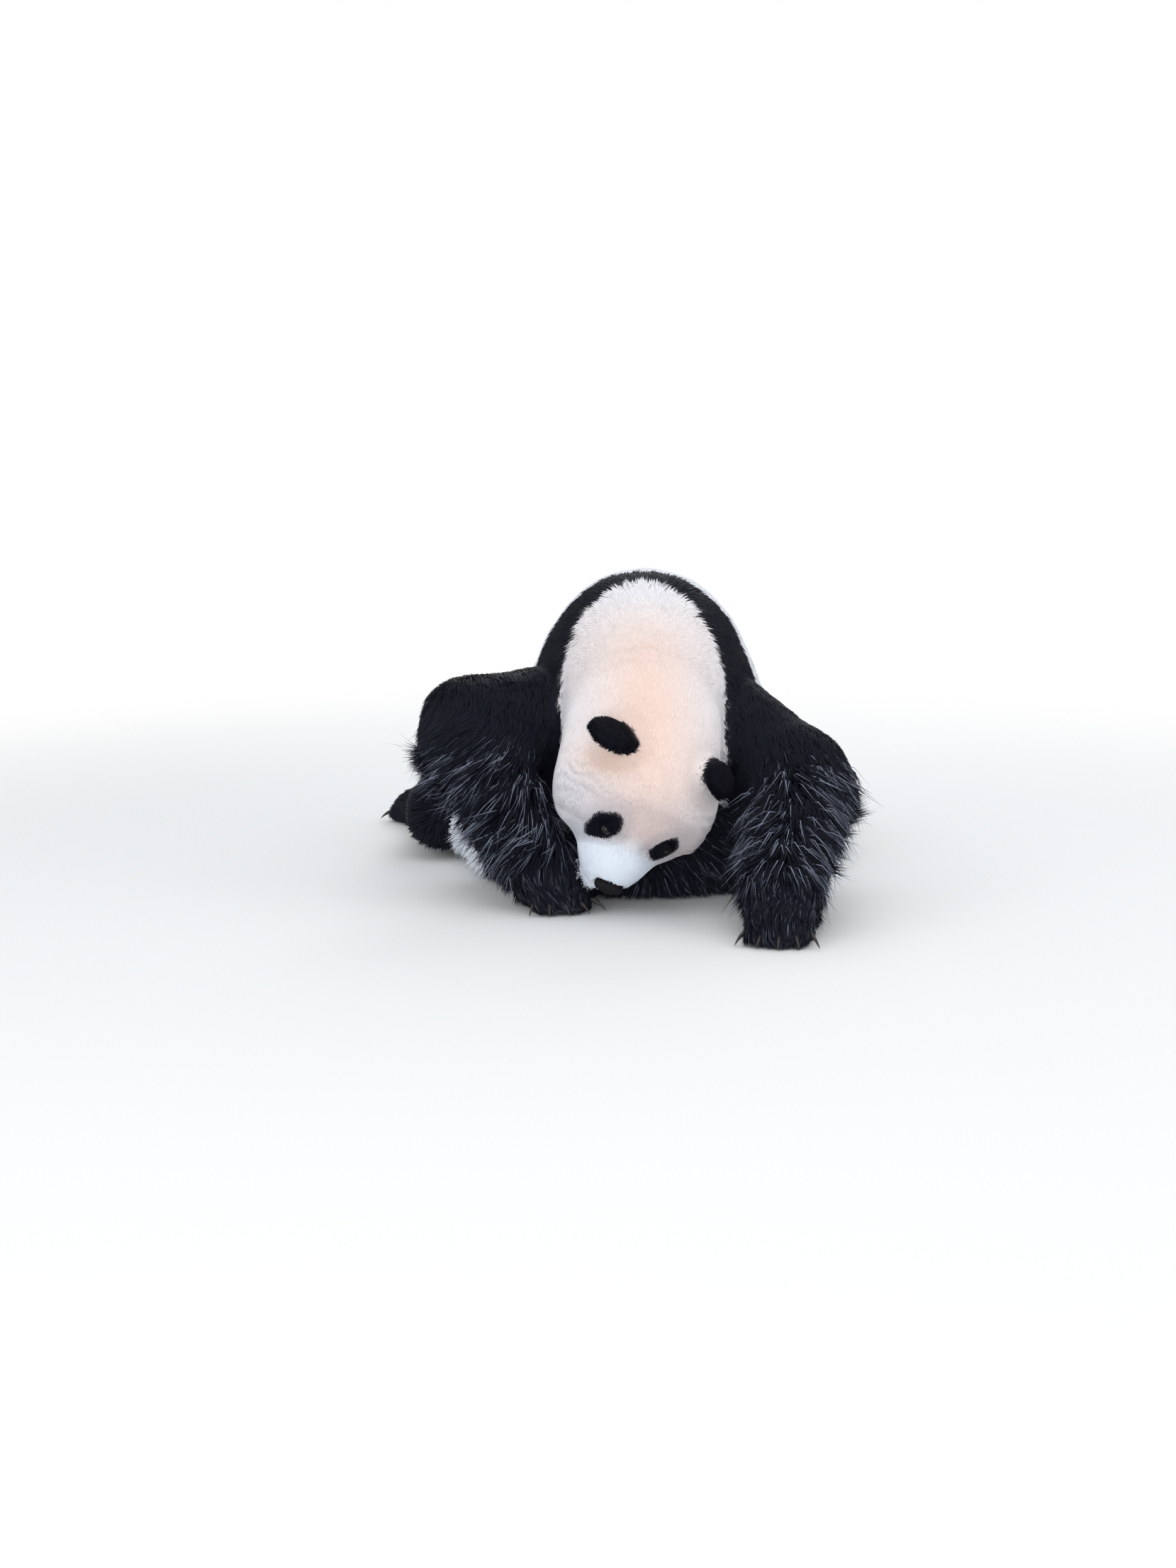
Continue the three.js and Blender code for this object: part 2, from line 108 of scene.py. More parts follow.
def wander(points, scale, seed=0.0):
    """Smooth noise from about -1 to 1, one value for each point."""
    shift = Vector((seed, seed * 0.7, -seed))
    return np.array([noise.noise(Vector(p) / scale + shift) for p in points])


# ---- Settings ----

def length_prop(name, default, description):
    return FloatProperty(name=name, description=description, default=default, unit="LENGTH",
                         precision=4, min=0.0)


def colour_prop(name, default, description):
    return FloatVectorProperty(name=name, description=description, default=default, size=3,
                               subtype="COLOR", min=0.0, max=1.0)


class PandaCoatSettings(bpy.types.PropertyGroup):
    """How long the fur is on each part of the body, and how thickly it grows."""
    head: length_prop("Head", 0.015, "Fur on the crown and cheeks")
    ear: length_prop("Ears", 0.012, "Fur on the ears")
    neck: length_prop("Nape", 0.022, "Fur on the nape")
    chest: length_prop("Shoulders", 0.026, "Fur on the shoulders")
    trunk: length_prop("Back", 0.036, "Fur on the back")
    thigh: length_prop("Thighs", 0.028, "Fur on the thighs")
    upper_arm: length_prop("Upper arms", 0.028, "Fur above the elbows")
    forearm: length_prop("Forearms", 0.064, "Shaggy fur below the elbows")
    paw: length_prop("Paws", 0.028, "Fur on the paws")
    amount: FloatProperty(name="Amount", description="Share of the full number of tufts",
                          default=1.0, min=0.05, max=1.0)


class PandaColourSettings(bpy.types.PropertyGroup):
    """The colours of the coat and of the bare parts."""
    white: colour_prop("White fur", (0.76, 0.82, 0.90), "Cold white of the back and face")
    cream: colour_prop("Cream fur", (0.80, 0.63, 0.565), "Warmer white along the nape")
    # Below one ear this tan also paints the shadow that the ear casts.
    tan: colour_prop("Stained fur", (0.62, 0.36, 0.22), "Stain on the crown and below the ears")
    black: colour_prop("Black fur", (0.0045, 0.0048, 0.0090), "Black of the limbs")
    leather: colour_prop("Nose", (0.006, 0.006, 0.007), "Leather of the nose")
    horn: colour_prop("Claws", (0.012, 0.010, 0.009), "Horn of the claws")
    iris: colour_prop("Iris", (0.006, 0.0035, 0.0028), "Brown of the iris")
    floor: colour_prop("Floor", (0.84, 0.84, 0.84), "Floor and backdrop")


class PandaSkinSettings(bpy.types.PropertyGroup):
    """How finely the skin is made."""
    grain: length_prop("Mesh size", 0.0064, "Edge length of the skin's faces")
    rounding: IntProperty(name="Rounding", description="Passes that round the flesh's facets",
                          default=36, min=0, max=200)
    eye_radius: length_prop("Eye radius", 0.0105, "Radius of the eyeball")


# ---- Regions of the coat ----

# fur: the setting that gives its length. depth: how far the skin lies inside the tips of the coat.
# width: of a tuft at its root. lift: the angle between a tuft and the skin. clump: how far tips draw
# together. dark: 1 where the fur is black. count: tufts on all of that region at full amount.
REGION_KEYS = ("fur", "depth", "width", "lift", "clump", "dark", "count")
REGIONS = {name: dict(zip(REGION_KEYS, row)) for name, row in {
    "head": ("head", 0.0040, 0.0032, 6, 0.06, 0, 48000),
    "ear": ("ear", 0.0020, 0.0022, 14, 0.03, 1, 5000),
    "neck": ("neck", 0.0050, 0.0036, 9, 0.10, 0, 17000),
    "chest": ("chest", 0.0055, 0.0036, 8, 0.10, 1, 30000),
    "trunk": ("trunk", 0.0070, 0.0046, 8, 0.18, 0, 17000),
    "rump": ("trunk", 0.0070, 0.0046, 8, 0.18, 0, 23000),
    "thigh": ("thigh", 0.0060, 0.0036, 9, 0.18, 1, 34000),
    "upper_arm": ("upper_arm", 0.0060, 0.0034, 10, 0.20, 1, 13000),
    "forearm": ("forearm", 0.0180, 0.0036, 33, 0.75, 1, 20000),
    "forepaw": ("paw", 0.0060, 0.0028, 16, 0.45, 1, 9500),
    "shin": ("upper_arm", 0.0060, 0.0036, 12, 0.30, 1, 4500),
    "hindpaw": ("paw", 0.0045, 0.0028, 13, 0.25, 1, 6000),
    "tail": ("trunk", 0.0100, 0.0046, 18, 0.40, 0, 1500),
}.items()}
REGION_NAMES = list(REGIONS)
COAT_PIECES = {
    "coat_face": ("head",),
    "coat_nape": ("neck", "ear"),
    "coat_shoulders": ("chest",),
    "coat_back": ("trunk", "tail"),
    "coat_rump": ("rump", "shin"),
    "coat_thigh_right": ("thigh",),
    "coat_thigh_left": ("thigh",),
    "coat_foreleg": ("upper_arm", "hindpaw"),
    "coat_forearm": ("forearm",),
    "coat_paws": ("forepaw",),
}
GLINT = 0.87  # tufts whose own number is above this are thin and carry a painted highlight
MOST_TUFTS = 33000  # a piece of six-faced tufts stays under two hundred thousand faces


FUR_MEASURES = ("length", "width", "lift", "clump")
BROAD = ("thigh", "rump", "trunk", "chest")  # regions that slump onto the floor


def is_in(regions, *names):
    """Which of the region numbers stand for one of the named regions."""
    return np.isin(regions, [REGION_NAMES.index(n) for n in names])


def region_of(node):
    base, _, side = node.rpartition("_")
    return base if side in ("right", "left") else node


# ---- Mesh helpers ----

def deselect_all():
    if bpy.context.object and bpy.context.object.mode != "OBJECT":
        bpy.ops.object.mode_set(mode="OBJECT")
    bpy.ops.object.select_all(action="DESELECT")


def pick(*objects):
    """Selects these objects alone, and makes the first of them the active one."""
    deselect_all()
    for chosen in objects:
        chosen.select_set(True)
    bpy.context.view_layer.objects.active = objects[0]


def apply_modifier(piece, kind, **settings):
    pick(piece)
    modifier = piece.modifiers.new(kind.title(), kind)
    for name, value in settings.items():
        setattr(modifier, name, value)
    bpy.ops.object.modifier_apply(modifier=modifier.name)


def read(items, attribute, width=1, kind=np.float32):
    """One attribute of all the items of a mesh, in rows of the given width."""
    flat = np.empty(len(items) * width, kind)
    items.foreach_get(attribute, flat)
    return flat.reshape(-1, width) if width > 1 else flat


def places(mesh):
    return read(mesh.vertices, "co", 3).astype(np.float64)


def normals(mesh):
    return read(mesh.vertex_normals, "vector", 3).astype(np.float64)


def edges_of(mesh):
    return read(mesh.edges, "vertices", 2, np.int32)


def move_vertices(mesh, points):
    mesh.vertices.foreach_set("co", points.astype(np.float32).ravel())
    mesh.update()


def diffused(values, edges, passes):
    """Values on the vertices, each mixed with its neighbours' mean several times over."""
    values = np.array(values, dtype=np.float64)
    flat = values.reshape(len(values), -1)
    a, b = edges.T
    degree = np.maximum(np.bincount(edges.ravel(), minlength=len(flat)), 1)
    for _ in range(passes):
        for column in range(flat.shape[1]):
            v = flat[:, column]
            around = np.bincount(a, v[b], len(v)) + np.bincount(b, v[a], len(v))
            flat[:, column] = 0.5 * v + 0.5 * around / degree
    return flat.reshape(values.shape)


def store(mesh, name, kind, values):
    layer = mesh.attributes.get(name) or mesh.attributes.new(name, kind, "POINT")
    layer.data.foreach_set("color" if kind == "FLOAT_COLOR" else "value",
                           np.ascontiguousarray(values, np.float32).ravel())


def finish_piece(piece, slot, *replaced):
    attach(piece, "root")
    if replaced:
        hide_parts(*replaced)


class FleshMap:
    """Finds the flesh piece nearest to each point."""

    def __init__(self):
        corners, faces, owners = [], [], []
        for node in FLESH:
            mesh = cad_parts[node].data
            start = len(corners)
            corners += [v.co.copy() for v in mesh.vertices]
            faces += [tuple(start + i for i in p.vertices) for p in mesh.polygons]
            owners += [REGION_NAMES.index(region_of(node))] * len(mesh.polygons)
        self.tree = BVHTree.FromPolygons(corners, faces)
        self.owners = owners

    def regions(self, points):
        found = [self.tree.find_nearest(Vector(p))[2] for p in points]
        return np.array([self.owners[i] for i in found])


# ---- Markings ----

NAPE = dict(across=0.030, height=0.365, half_width=0.148, half_height=0.225, slope=0.068)
EYE_PATCHES = (  # side of the head, place on it, half sizes, slant
    (1, (0.0625, 0.0995), (0.0272, 0.0230), -8),
    (-1, (0.056, 0.106), (0.0270, 0.0170), 45),
)
STAINS_AND_EAR_SHADOW = (  # place from the body's origin, spread, strength; real stains, and below one ear a painted shadow
    ((0.030, -0.16, 0.375), (0.075, 0.20, 0.060), 0.20),
    # A painted shadow that the ear casts on the head below it, in the tan of the stains.
    ((-0.048, -0.20, 0.290), (0.052, 0.20, 0.034), 0.55),
    ((0.100, -0.20, 0.300), (0.060, 0.20, 0.060), 0.12),
)
BREAST_TOP = (0.165, 0.215)  # heights between which the black breast turns to the white nape
HIND_BLACK = {"at": (0.360, 0.440, 0.020), "half": (0.235, 0.300, 0.235)}
NAPE_EDGE = (-0.010, 0.012)  # how far each side of a border black and white mix
BLACK_EDGE = (-0.012, 0.014)
PATCH_EDGE = (-0.003, 0.002)
YOKE_BACK = 0.113  # how far back the yoke reaches at the height of the shoulders
SHOULDER_HEIGHT = 0.6
FACE_SHADE, PATCH_SHADE, JAW_SHADE = 0.33, 0.22, 0.30  # how much painted shade greys the white fur there
CREAM_ELSEWHERE = 0.12
FAR_AWAY = 1.0


def superellipse(x, y, half, power=2.7):
    """Negative inside the outline of a rounded oval, in metres near its edge."""
    reach = (np.abs(x / half[0]) ** power + np.abs(y / half[1]) ** power) ** (1 / power)
    return (reach - 1) * min(half)


def eye_patches(local):
    """Distance outside the nearer black patch round an eye."""
    nearest = np.full(len(local), FAR_AWAY)
    for side, at, half, slant in EYE_PATCHES:
        turn = math.radians(slant)
        x = side * local[:, 0] - at[0]
        y = local[:, 1] - at[1]
        along = x * math.cos(turn) - y * math.sin(turn)
        across = x * math.sin(turn) + y * math.cos(turn)
        distance = superellipse(along, across, half)
        distance = np.where(local[:, 2] > -0.05, distance, FAR_AWAY)
        nearest = np.minimum(nearest, distance)
    return nearest


def nape_edge(body):
    """Distance outside the white of the nape, which narrows to an arch over the shoulders."""
    x, y, z = body.T
    height = z + (y + 0.1) * NAPE["slope"] - NAPE["height"]
    reach = np.hypot((x - NAPE["across"]) / NAPE["half_width"],
                     np.maximum(height, 0) / NAPE["half_height"])
    return (reach - 1) * NAPE["half_width"]


def hind_leg_edge(body):
    """Distance outside the black of the nearer hind leg, which ends at the hip."""
    place = np.stack([np.abs(body[:, 0]), body[:, 1], body[:, 2]], axis=1) - HIND_BLACK["at"]
    return (np.linalg.norm(place / HIND_BLACK["half"], axis=1) - 1) * min(HIND_BLACK["half"])


def markings(points, regions):
    """For each point: how black, how stained, how creamy, and how grey with painted shade the coat is
    there; the stain includes a painted shadow below one ear.
    """
    body = points - np.array(BODY_ORIGIN)
    local = in_head(points)
    x, y, z = body.T
    ragged = 0.007 * wander(points, 0.016) + 0.005 * wander(points, 0.045, 3.1)
    dark = np.array([REGIONS[n]["dark"] for n in REGION_NAMES], float)[regions]

    nape = smooth_step(*NAPE_EDGE, nape_edge(body) + ragged)
    behind = (y - YOKE_BACK + 0.16 * (z - SHOULDER_HEIGHT) + 0.16 * np.maximum(x - 0.03, 0)
              + 0.5 * ragged)
    behind += 0.5 * np.maximum(0.35 - z, 0)
    in_front = 1 - smooth_step(*BLACK_EDGE, behind)
    breast = (1 - smooth_step(*BREAST_TOP, z + ragged)) * in_front
    dark = np.where(is_in(regions, "chest", "neck", "trunk"), np.maximum(nape * in_front, breast), dark)
    hind = 1 - smooth_step(*BLACK_EDGE, hind_leg_edge(body) + ragged)
    hind = np.where(is_in(regions, "trunk"), np.maximum(hind, dark), hind)
    dark = np.where(is_in(regions, "trunk", "rump", "thigh"), hind, dark)

    patch = eye_patches(local)
    on_head = is_in(regions, "head")
    dark = np.where(on_head, 1 - smooth_step(*PATCH_EDGE, patch + 0.15 * ragged), dark)
    along = local[:, 1]
    # Painted shade: the white is greyed over the face between the eyes and the muzzle, round the eye
    # patches and under the jaw.
    face_shade = FACE_SHADE * smooth_step(0.0, 0.07, along) * (1 - smooth_step(0.11, 0.15, along))
    face_shade += PATCH_SHADE * (1 - smooth_step(0.0, 0.022, patch))
    jaw_shade = JAW_SHADE * smooth_step(0.01, 0.07, -local[:, 2] - 0.02)
    grey = np.where(on_head, face_shade + jaw_shade, 0.0)

    # Real stains, with a painted shadow below one ear.
    stain_and_shadow = sum(strength * bump_at(body, at, spread) for at, spread, strength in STAINS_AND_EAR_SHADOW)
    stain_and_shadow = np.where(is_in(regions, "head", "neck"), stain_and_shadow, 0.0)
    middle = np.exp(-((x - NAPE["across"]) / 0.10) ** 2)
    warm = 0.30 + 0.70 * middle * (1 - smooth_step(0.46, 0.58, z))
    muzzle = smooth_step(0.095, 0.145, along) * on_head
    fore = smooth_step(0.20, 0.30, z) * (1 - smooth_step(0.05, 0.20, y))
    cream = np.where(on_head, warm * (1 - muzzle), CREAM_ELSEWHERE + (warm - CREAM_ELSEWHERE) * fore)
    return dark, np.clip(stain_and_shadow, 0, 1), np.clip(cream, 0, 1), np.clip(grey, 0, 1)


# ---- Lie of the coat ----

MIDLINE = 0.03  # the trunk's middle line, to the left of the body's origin


def limb_course(points, *nodes):
    """Directions along a limb from one node to the next, and straight out from its middle line."""
    stations = [spot(n) for n in nodes]
    nearest = np.full(len(points), np.inf)
    course, outward = np.zeros_like(points), np.zeros_like(points)
    for start, end in zip(stations[:-1], stations[1:]):
        along = unit(end - start)
        reach = np.clip((points - start) @ along, 0, np.linalg.norm(end - start))
        away = points - start - np.outer(reach, along)
        distance = np.linalg.norm(away, axis=1)
        closer = distance < nearest
        nearest = np.where(closer, distance, nearest)
        course[closer], outward[closer] = along, unit(away)[closer]
    return course, outward


def lie_of_coat(points, regions):
    """Directions in which the coat lies, before they are laid onto the skin."""
    x, y = (points - np.array(BODY_ORIGIN)).T[:2]
    side = np.sign(x - MIDLINE) * smooth_step(0.0, 0.16, np.abs(x - MIDLINE))
    lie = np.stack([0.35 * side, np.ones_like(x), -0.30 - 0.5 * np.abs(side)], axis=1)

    def lay(chosen, course):
        return np.where(chosen[:, None], course, lie)

    back = in_head(points) - np.array([0, 0.19, -0.01])
    back[:, 2] += 0.03
    lie = lay(is_in(regions, "head"), unit(back) @ np.array(HEAD_AXES).T)
    down_nape = np.stack([0.8 * side, np.full_like(x, 0.6), 0.75 - 1.5 * np.abs(side)], axis=1)
    lie = lay(is_in(regions, "neck"), down_nape)
    for end, sign, parting in (("right", -1, 1.1), ("left", 1, 0.35)):
        here = np.sign(x) == sign
        over_thigh = np.stack([sign * (0.35 + 0.8 * smooth_step(0.15, 0.5, np.abs(x))), 0.30 - 0.2 * y,
                               -0.25 - 0.9 * smooth_step(0.25, 0.6, np.abs(x))], axis=1)
        arm, outward = limb_course(points, f"upper_arm_{end}", f"forearm_{end}", f"forepaw_{end}")
        sideways = np.zeros_like(points)
        sideways[:, 0] = sign * np.tanh(3 * (sign * outward[:, 0] + parting))
        courses = {
            "thigh": over_thigh,
            "upper_arm": arm,
            "forearm": 0.35 * arm + 0.95 * sideways + 0.25 * outward - (0, 0, 0.4),
            "forepaw": spot(f"claw_front_{end}_3") - spot(f"forepaw_{end}"),
            "hindpaw": spot(f"claw_hind_{end}_3") - spot(f"hindpaw_{end}"),
            "shin": spot(f"hindpaw_{end}") - spot(f"shin_{end}"),
        }
        for region, course in courses.items():
            lie = lay(is_in(regions, region) & here, course)
        root = spot(f"ear_{end}")
        tip = root + unit(root - np.array(HEAD_AT)) * 0.03
        near_ear = is_in(regions, "ear") & (distance_to(root, points) < 0.08)
        lie = lay(near_ear, points - (2 * root - tip))
    return unit(lie)


# ---- Materials ----

SHADE_GREY = (0.30, 0.32, 0.38)  # painted shade: the grey that the white fur is darkened toward where shade falls
# Painted sheen: the paler tips of the shaggy black fur stand in for the light they catch.
PAINTED_SHEEN_TIP = (0.026, 0.029, 0.044)
PAINTED_GLINT = (0.225, 0.245, 0.320)  # painted highlight on the few glinting tufts of the shaggy black fur
ROOT_SHADE = (0.50, 0.50, 0.52)
PUPIL, IRIS_RIM, EYE_EDGE = (0.002, 0.002, 0.002), (0.006, 0.004, 0.003), (0.006, 0.005, 0.005)

def fill(node, **values):
    """Sets a node's inputs by name, with underscores for spaces."""
    for name, value in values.items():
        node.inputs[name.replace("_", " ")].default_value = value


class Shader:
    """A material's node tree, with short ways to add nodes and join them."""

    def __init__(self, name):
        self.material = bpy.data.materials.new(name)
        self.material.use_nodes = True
        self.tree = self.material.node_tree
        self.surface = self.tree.nodes["Principled BSDF"]

    def node(self, kind, **settings):
        made = self.tree.nodes.new(kind)
        for name, value in settings.items():
            setattr(made, name, value)
        return made

    def join(self, output, socket):
        self.tree.links.new(output, socket)

    def set(self, **values):
        fill(self.surface, **values)

    def attribute(self, name):
        return self.node("ShaderNodeAttribute", attribute_name=name)

    def noise(self, scale, detail=4.0, stretch=None):
        texture = self.node("ShaderNodeTexNoise")
        fill(texture, Scale=scale, Detail=detail)
        coordinates = self.node("ShaderNodeTexCoord").outputs["Object"]
        if stretch:
            mapping = self.node("ShaderNodeMapping")
            mapping.inputs["Scale"].default_value = stretch
            self.join(coordinates, mapping.inputs["Vector"])
            coordinates = mapping.outputs["Vector"]
        self.join(coordinates, texture.inputs["Vector"])
        return texture.outputs["Fac"]

    def mix(self, factor, first, second, blend="MIX"):
        mixer = self.node("ShaderNodeMix", data_type="RGBA", blend_type=blend)
        for value, socket in ((factor, mixer.inputs[0]), (first, mixer.inputs[6]),
                              (second, mixer.inputs[7])):
            if isinstance(value, bpy.types.NodeSocket):
                self.join(value, socket)
            elif isinstance(value, float):
                socket.default_value = value
            else:
                socket.default_value = (*value, 1.0)
        return mixer.outputs[2]

    def scaled(self, value, low, high, start=0.0, end=1.0, kind="LINEAR"):
        """A value from its start to its end, spread over another range."""
        stretch = self.node("ShaderNodeMapRange", interpolation_type=kind)
        fill(stretch, From_Min=start, From_Max=end, To_Min=low, To_Max=high)
        self.join(value, stretch.inputs["Value"])
        return stretch.outputs["Result"]

    def product(self, first, second):
        node = self.node("ShaderNodeMath", operation="MULTIPLY")
        self.join(first, node.inputs[0])
        self.join(second, node.inputs[1])
        return node.outputs[0]

    def bump(self, height, strength, distance):
        node = self.node("ShaderNodeBump")
        fill(node, Strength=strength, Distance=distance)
        self.join(height, node.inputs["Height"])
        self.join(node.outputs["Normal"], self.surface.inputs["Normal"])


def coat_colour(shader, colours):
    """White, cream, stain and black mixed by the markings that the mesh carries, with painted shade
    greying the white and a painted shadow below one ear in the tan of the stains.
    """
    marks = shader.node("ShaderNodeSeparateColor")
    layer = shader.attribute("markings")
    shader.join(layer.outputs["Color"], marks.inputs["Color"])
    dark, stain_and_shadow, cream = marks.outputs
    grey = layer.outputs["Alpha"]
    white = shader.mix(cream, tuple(colours.white), tuple(colours.cream))
    # The tan also paints the shadow below one ear.
    white = shader.mix(stain_and_shadow, white, tuple(colours.tan))
    # Painted shade greys the white fur.
    white = shader.mix(grey, white, SHADE_GREY)
    return shader.mix(dark, white, tuple(colours.black))


def fur_material(name, colours, black):
    """Fur whose tufts differ a little in lightness and are paler at their tips: painted shade at the roots
    of the white fur, a painted sheen at the tips of the black fur and painted highlights on a few of its
    thin tufts.
    """
    shader = Shader(name)
    strand = shader.node("ShaderNodeSeparateColor")
    shader.join(shader.attribute("strand").outputs["Color"], strand.inputs["Color"])
    along, own, shaggy = strand.outputs
    colour = coat_colour(shader, colours)
    if black:
        # Painted sheen: paler tips on the shaggy black fur.
        tip_sheen = shader.product(shader.scaled(along, 0.0, 0.40), shader.scaled(shaggy, 0, 1, 0.06, 0.12))
        colour = shader.mix(tip_sheen, colour, PAINTED_SHEEN_TIP)
        # Painted highlight: a few thin tufts of the shaggy black fur are pale where they would glint.
        glint = shader.product(shader.scaled(own, 0.0, 1.5, GLINT), shader.scaled(shaggy, 0, 1, 0.3, 0.75))
        colour = shader.mix(glint, colour, PAINTED_GLINT)
        shader.set(Roughness=0.50, Specular_IOR_Level=0.06)
    else:
        shade = shader.scaled(own, 0.93, 1.04)
        tone = shader.node("ShaderNodeCombineColor")
        for channel in tone.inputs:
            shader.join(shade, channel)
        colour = shader.mix(1.0, colour, tone.outputs["Color"], "MULTIPLY")
        roots = shader.scaled(along, 0.06, 0.0)
        colour = shader.mix(roots, colour, ROOT_SHADE)
        shader.set(Roughness=0.72, Specular_IOR_Level=0.25, Sheen_Weight=0.15,
                   Sheen_Roughness=0.5)
    shader.join(colour, shader.surface.inputs["Base Color"])
    return shader.material


def skin_material(colours):
    """Short underfur: the markings broken up by fine noise, with a fine stringy relief."""
    shader = Shader("underfur")
    fine = shader.noise(420.0, 5.0)
    shade = shader.mix(shader.scaled(fine, 0.0, 1.0), (0.86, 0.86, 0.87), (1.0, 1.0, 1.0))
    colour = shader.mix(1.0, coat_colour(shader, colours), shade, "MULTIPLY")
    shader.join(colour, shader.surface.inputs["Base Color"])
    shader.join(shader.scaled(fine, 0.65, 0.90), shader.surface.inputs["Roughness"])
    shader.bump(fine, 0.6, 0.002)
    shader.set(Specular_IOR_Level=0.05)
    return shader.material


def leather_material(colours):
    """Damp nose leather, with a pebbled grain."""
    shader = Shader("nose_leather")
    cells = shader.node("ShaderNodeTexVoronoi")
    cells.inputs["Scale"].default_value = 620.0
    shader.join(shader.node("ShaderNodeTexCoord").outputs["Object"], cells.inputs["Vector"])
    cloudy = shader.noise(90.0)
    colour = shader.mix(cloudy, tuple(colours.leather), (0.012, 0.011, 0.012))
    shader.join(colour, shader.surface.inputs["Base Color"])
    shader.join(shader.scaled(cloudy, 0.42, 0.62), shader.surface.inputs["Roughness"])
    shader.set(Specular_IOR_Level=0.08)
    shader.bump(cells.outputs["Distance"], 0.35, 0.0008)
    return shader.material


def horn_material(colours):
    """Claw horn, with streaks along it."""
    shader = Shader("claw_horn")
    streaks = shader.noise(160.0, 3.0, stretch=(1.0, 0.3, 1.0))
    colour = shader.mix(streaks, tuple(colours.horn), (0.030, 0.026, 0.022))
    shader.join(colour, shader.surface.inputs["Base Color"])
    shader.join(shader.scaled(streaks, 0.30, 0.55), shader.surface.inputs["Roughness"])
    shader.bump(streaks, 0.25, 0.0008)
    return shader.material


def eye_material(colours):
    """A wet eye: pupil, brown iris and dark rim, by the angle from the line of gaze."""
    shader = Shader("eye_cornea")
    rings = shader.node("ShaderNodeValToRGB")
    stops = rings.color_ramp.elements
    stops[0].position, stops[0].color = 0.0, (*PUPIL, 1)
    stops[1].position, stops[1].color = 0.95, (*EYE_EDGE, 1)
    iris = tuple(colours.iris)
    for place, colour in ((0.17, PUPIL), (0.22, iris), (0.42, iris), (0.50, IRIS_RIM)):
        stops.new(place).color = (*colour, 1)
    shader.join(shader.attribute("gaze").outputs["Fac"], rings.inputs["Fac"])
    fibres = shader.noise(900.0, 2.0)
    colour = shader.mix(shader.scaled(fibres, 0.0, 0.4), rings.outputs["Color"], (0.004, 0.003, 0.003))
    shader.join(colour, shader.surface.inputs["Base Color"])
    shader.set(Roughness=0.14, Specular_IOR_Level=0.25, Coat_Weight=0.12, Coat_Roughness=0.04)
    return shader.material


# ---- Skin ----

THROAT_TOP = 0.19  # height below which the chest's fur is loose
LOOSE_THROAT = 0.55  # how far that fur goes toward the forearm's
SOFT_EDGED = ("shin", "thigh", "ear", "upper_arm", "chest")  # where the markings' edges are softened
SPREAD_OF_FUR = 60  # passes that even out the fur's measures and depth over the skin
LOWEST = 0.0005  # height of the skin's lowest places
PLAIN_ABOVE = (0.25, 0.36)  # heights between which the forearm's shaggy fur turns plain
FACE_REACH = 0.024  # how far round an eye the skin is made finer
MUZZLE_REACH = 0.062  # and how far round the nose
EYE_SLIT = (0.0092, 0.0054)  # half sizes of the opening between the lids
LID_THICKNESS = 0.0016
SOCKET_GAP = 0.0035  # how far the skin lies inside the eyeball, where the eye is open
CREASE = 0.0011
BROW_HEIGHT = HOLLOW_DEPTH = 0.0050
MUZZLE_GROOVE = 0.0045  # across the root of the muzzle
FINE_FOLDS = (0.0005, 0.017)  # height and spacing of the folds across the brow
LIP_DEPTH, CLEFT_DEPTH = 0.0035, 0.0025


def gaze_of(node):
    """The way an eye looks: out of the side of the face, and a little forward and up."""
    side = 1 if node == "eye_right" else -1
    return (HEAD_AXES @ Vector((side * 0.55, 0.42, 0.72))).normalized()


def refine_near(piece, centre, reach, cuts):
    """Subdivides the faces within reach of a point."""
    pick(piece)
    mesh = piece.data
    near = distance_to(centre, places(mesh)) < reach
    mesh.vertices.foreach_set("select", near)
    corners = [all(near[i] for i in p.vertices) for p in mesh.polygons]
    mesh.polygons.foreach_set("select", corners)
    ends = edges_of(mesh)
    mesh.edges.foreach_set("select", near[ends].all(axis=1))
    bpy.ops.object.mode_set(mode="EDIT")
    bpy.ops.mesh.subdivide(number_cuts=cuts, smoothness=0.0)
    bpy.ops.object.mode_set(mode="OBJECT")


def fuse_flesh(settings):
    """Joins copies of the flesh pieces and fuses them into one closed skin."""
    copies = []
    for node in FLESH:
        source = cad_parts[node]
        copy = source.copy()
        copy.data = source.data.copy()
        for key in list(copy.keys()):
            del copy[key]
        copy.parent = None
        copy.matrix_world = Matrix.Identity(4)
        bpy.context.collection.objects.link(copy)
        copies.append(copy)
    pick(*copies)
    bpy.ops.object.join()
    skin = bpy.context.object
    skin.name = skin.data.name = "skin"
    skin.data.materials.clear()
    bpy.ops.object.mode_set(mode="EDIT")
    bpy.ops.mesh.select_all(action="SELECT")
    bpy.ops.mesh.remove_doubles(threshold=1e-5)
    bpy.ops.object.mode_set(mode="OBJECT")
    apply_modifier(skin, "DISPLACE", strength=0.0006, mid_level=0.0)
    apply_modifier(skin, "REMESH", mode="VOXEL", voxel_size=settings.grain)
    return skin


ROUNDING = {"head": 0.45, "ear": 0.10, "neck": 0.9, "forepaw": 0.22, "hindpaw": 0.22, "tail": 0.5}


def smooth_by(skin, share, **settings):
    """Smooths the skin by each vertex's share, in steps of a tenth."""
    group = skin.vertex_groups.new(name="smoothed")
    for step in range(1, 11):
        members = np.nonzero(np.round(share * 10) == step)[0]
        group.add(members.tolist(), step / 10, "REPLACE")
    apply_modifier(skin, "SMOOTH", factor=0.6, vertex_group="smoothed", **settings)
    skin.vertex_groups.clear()


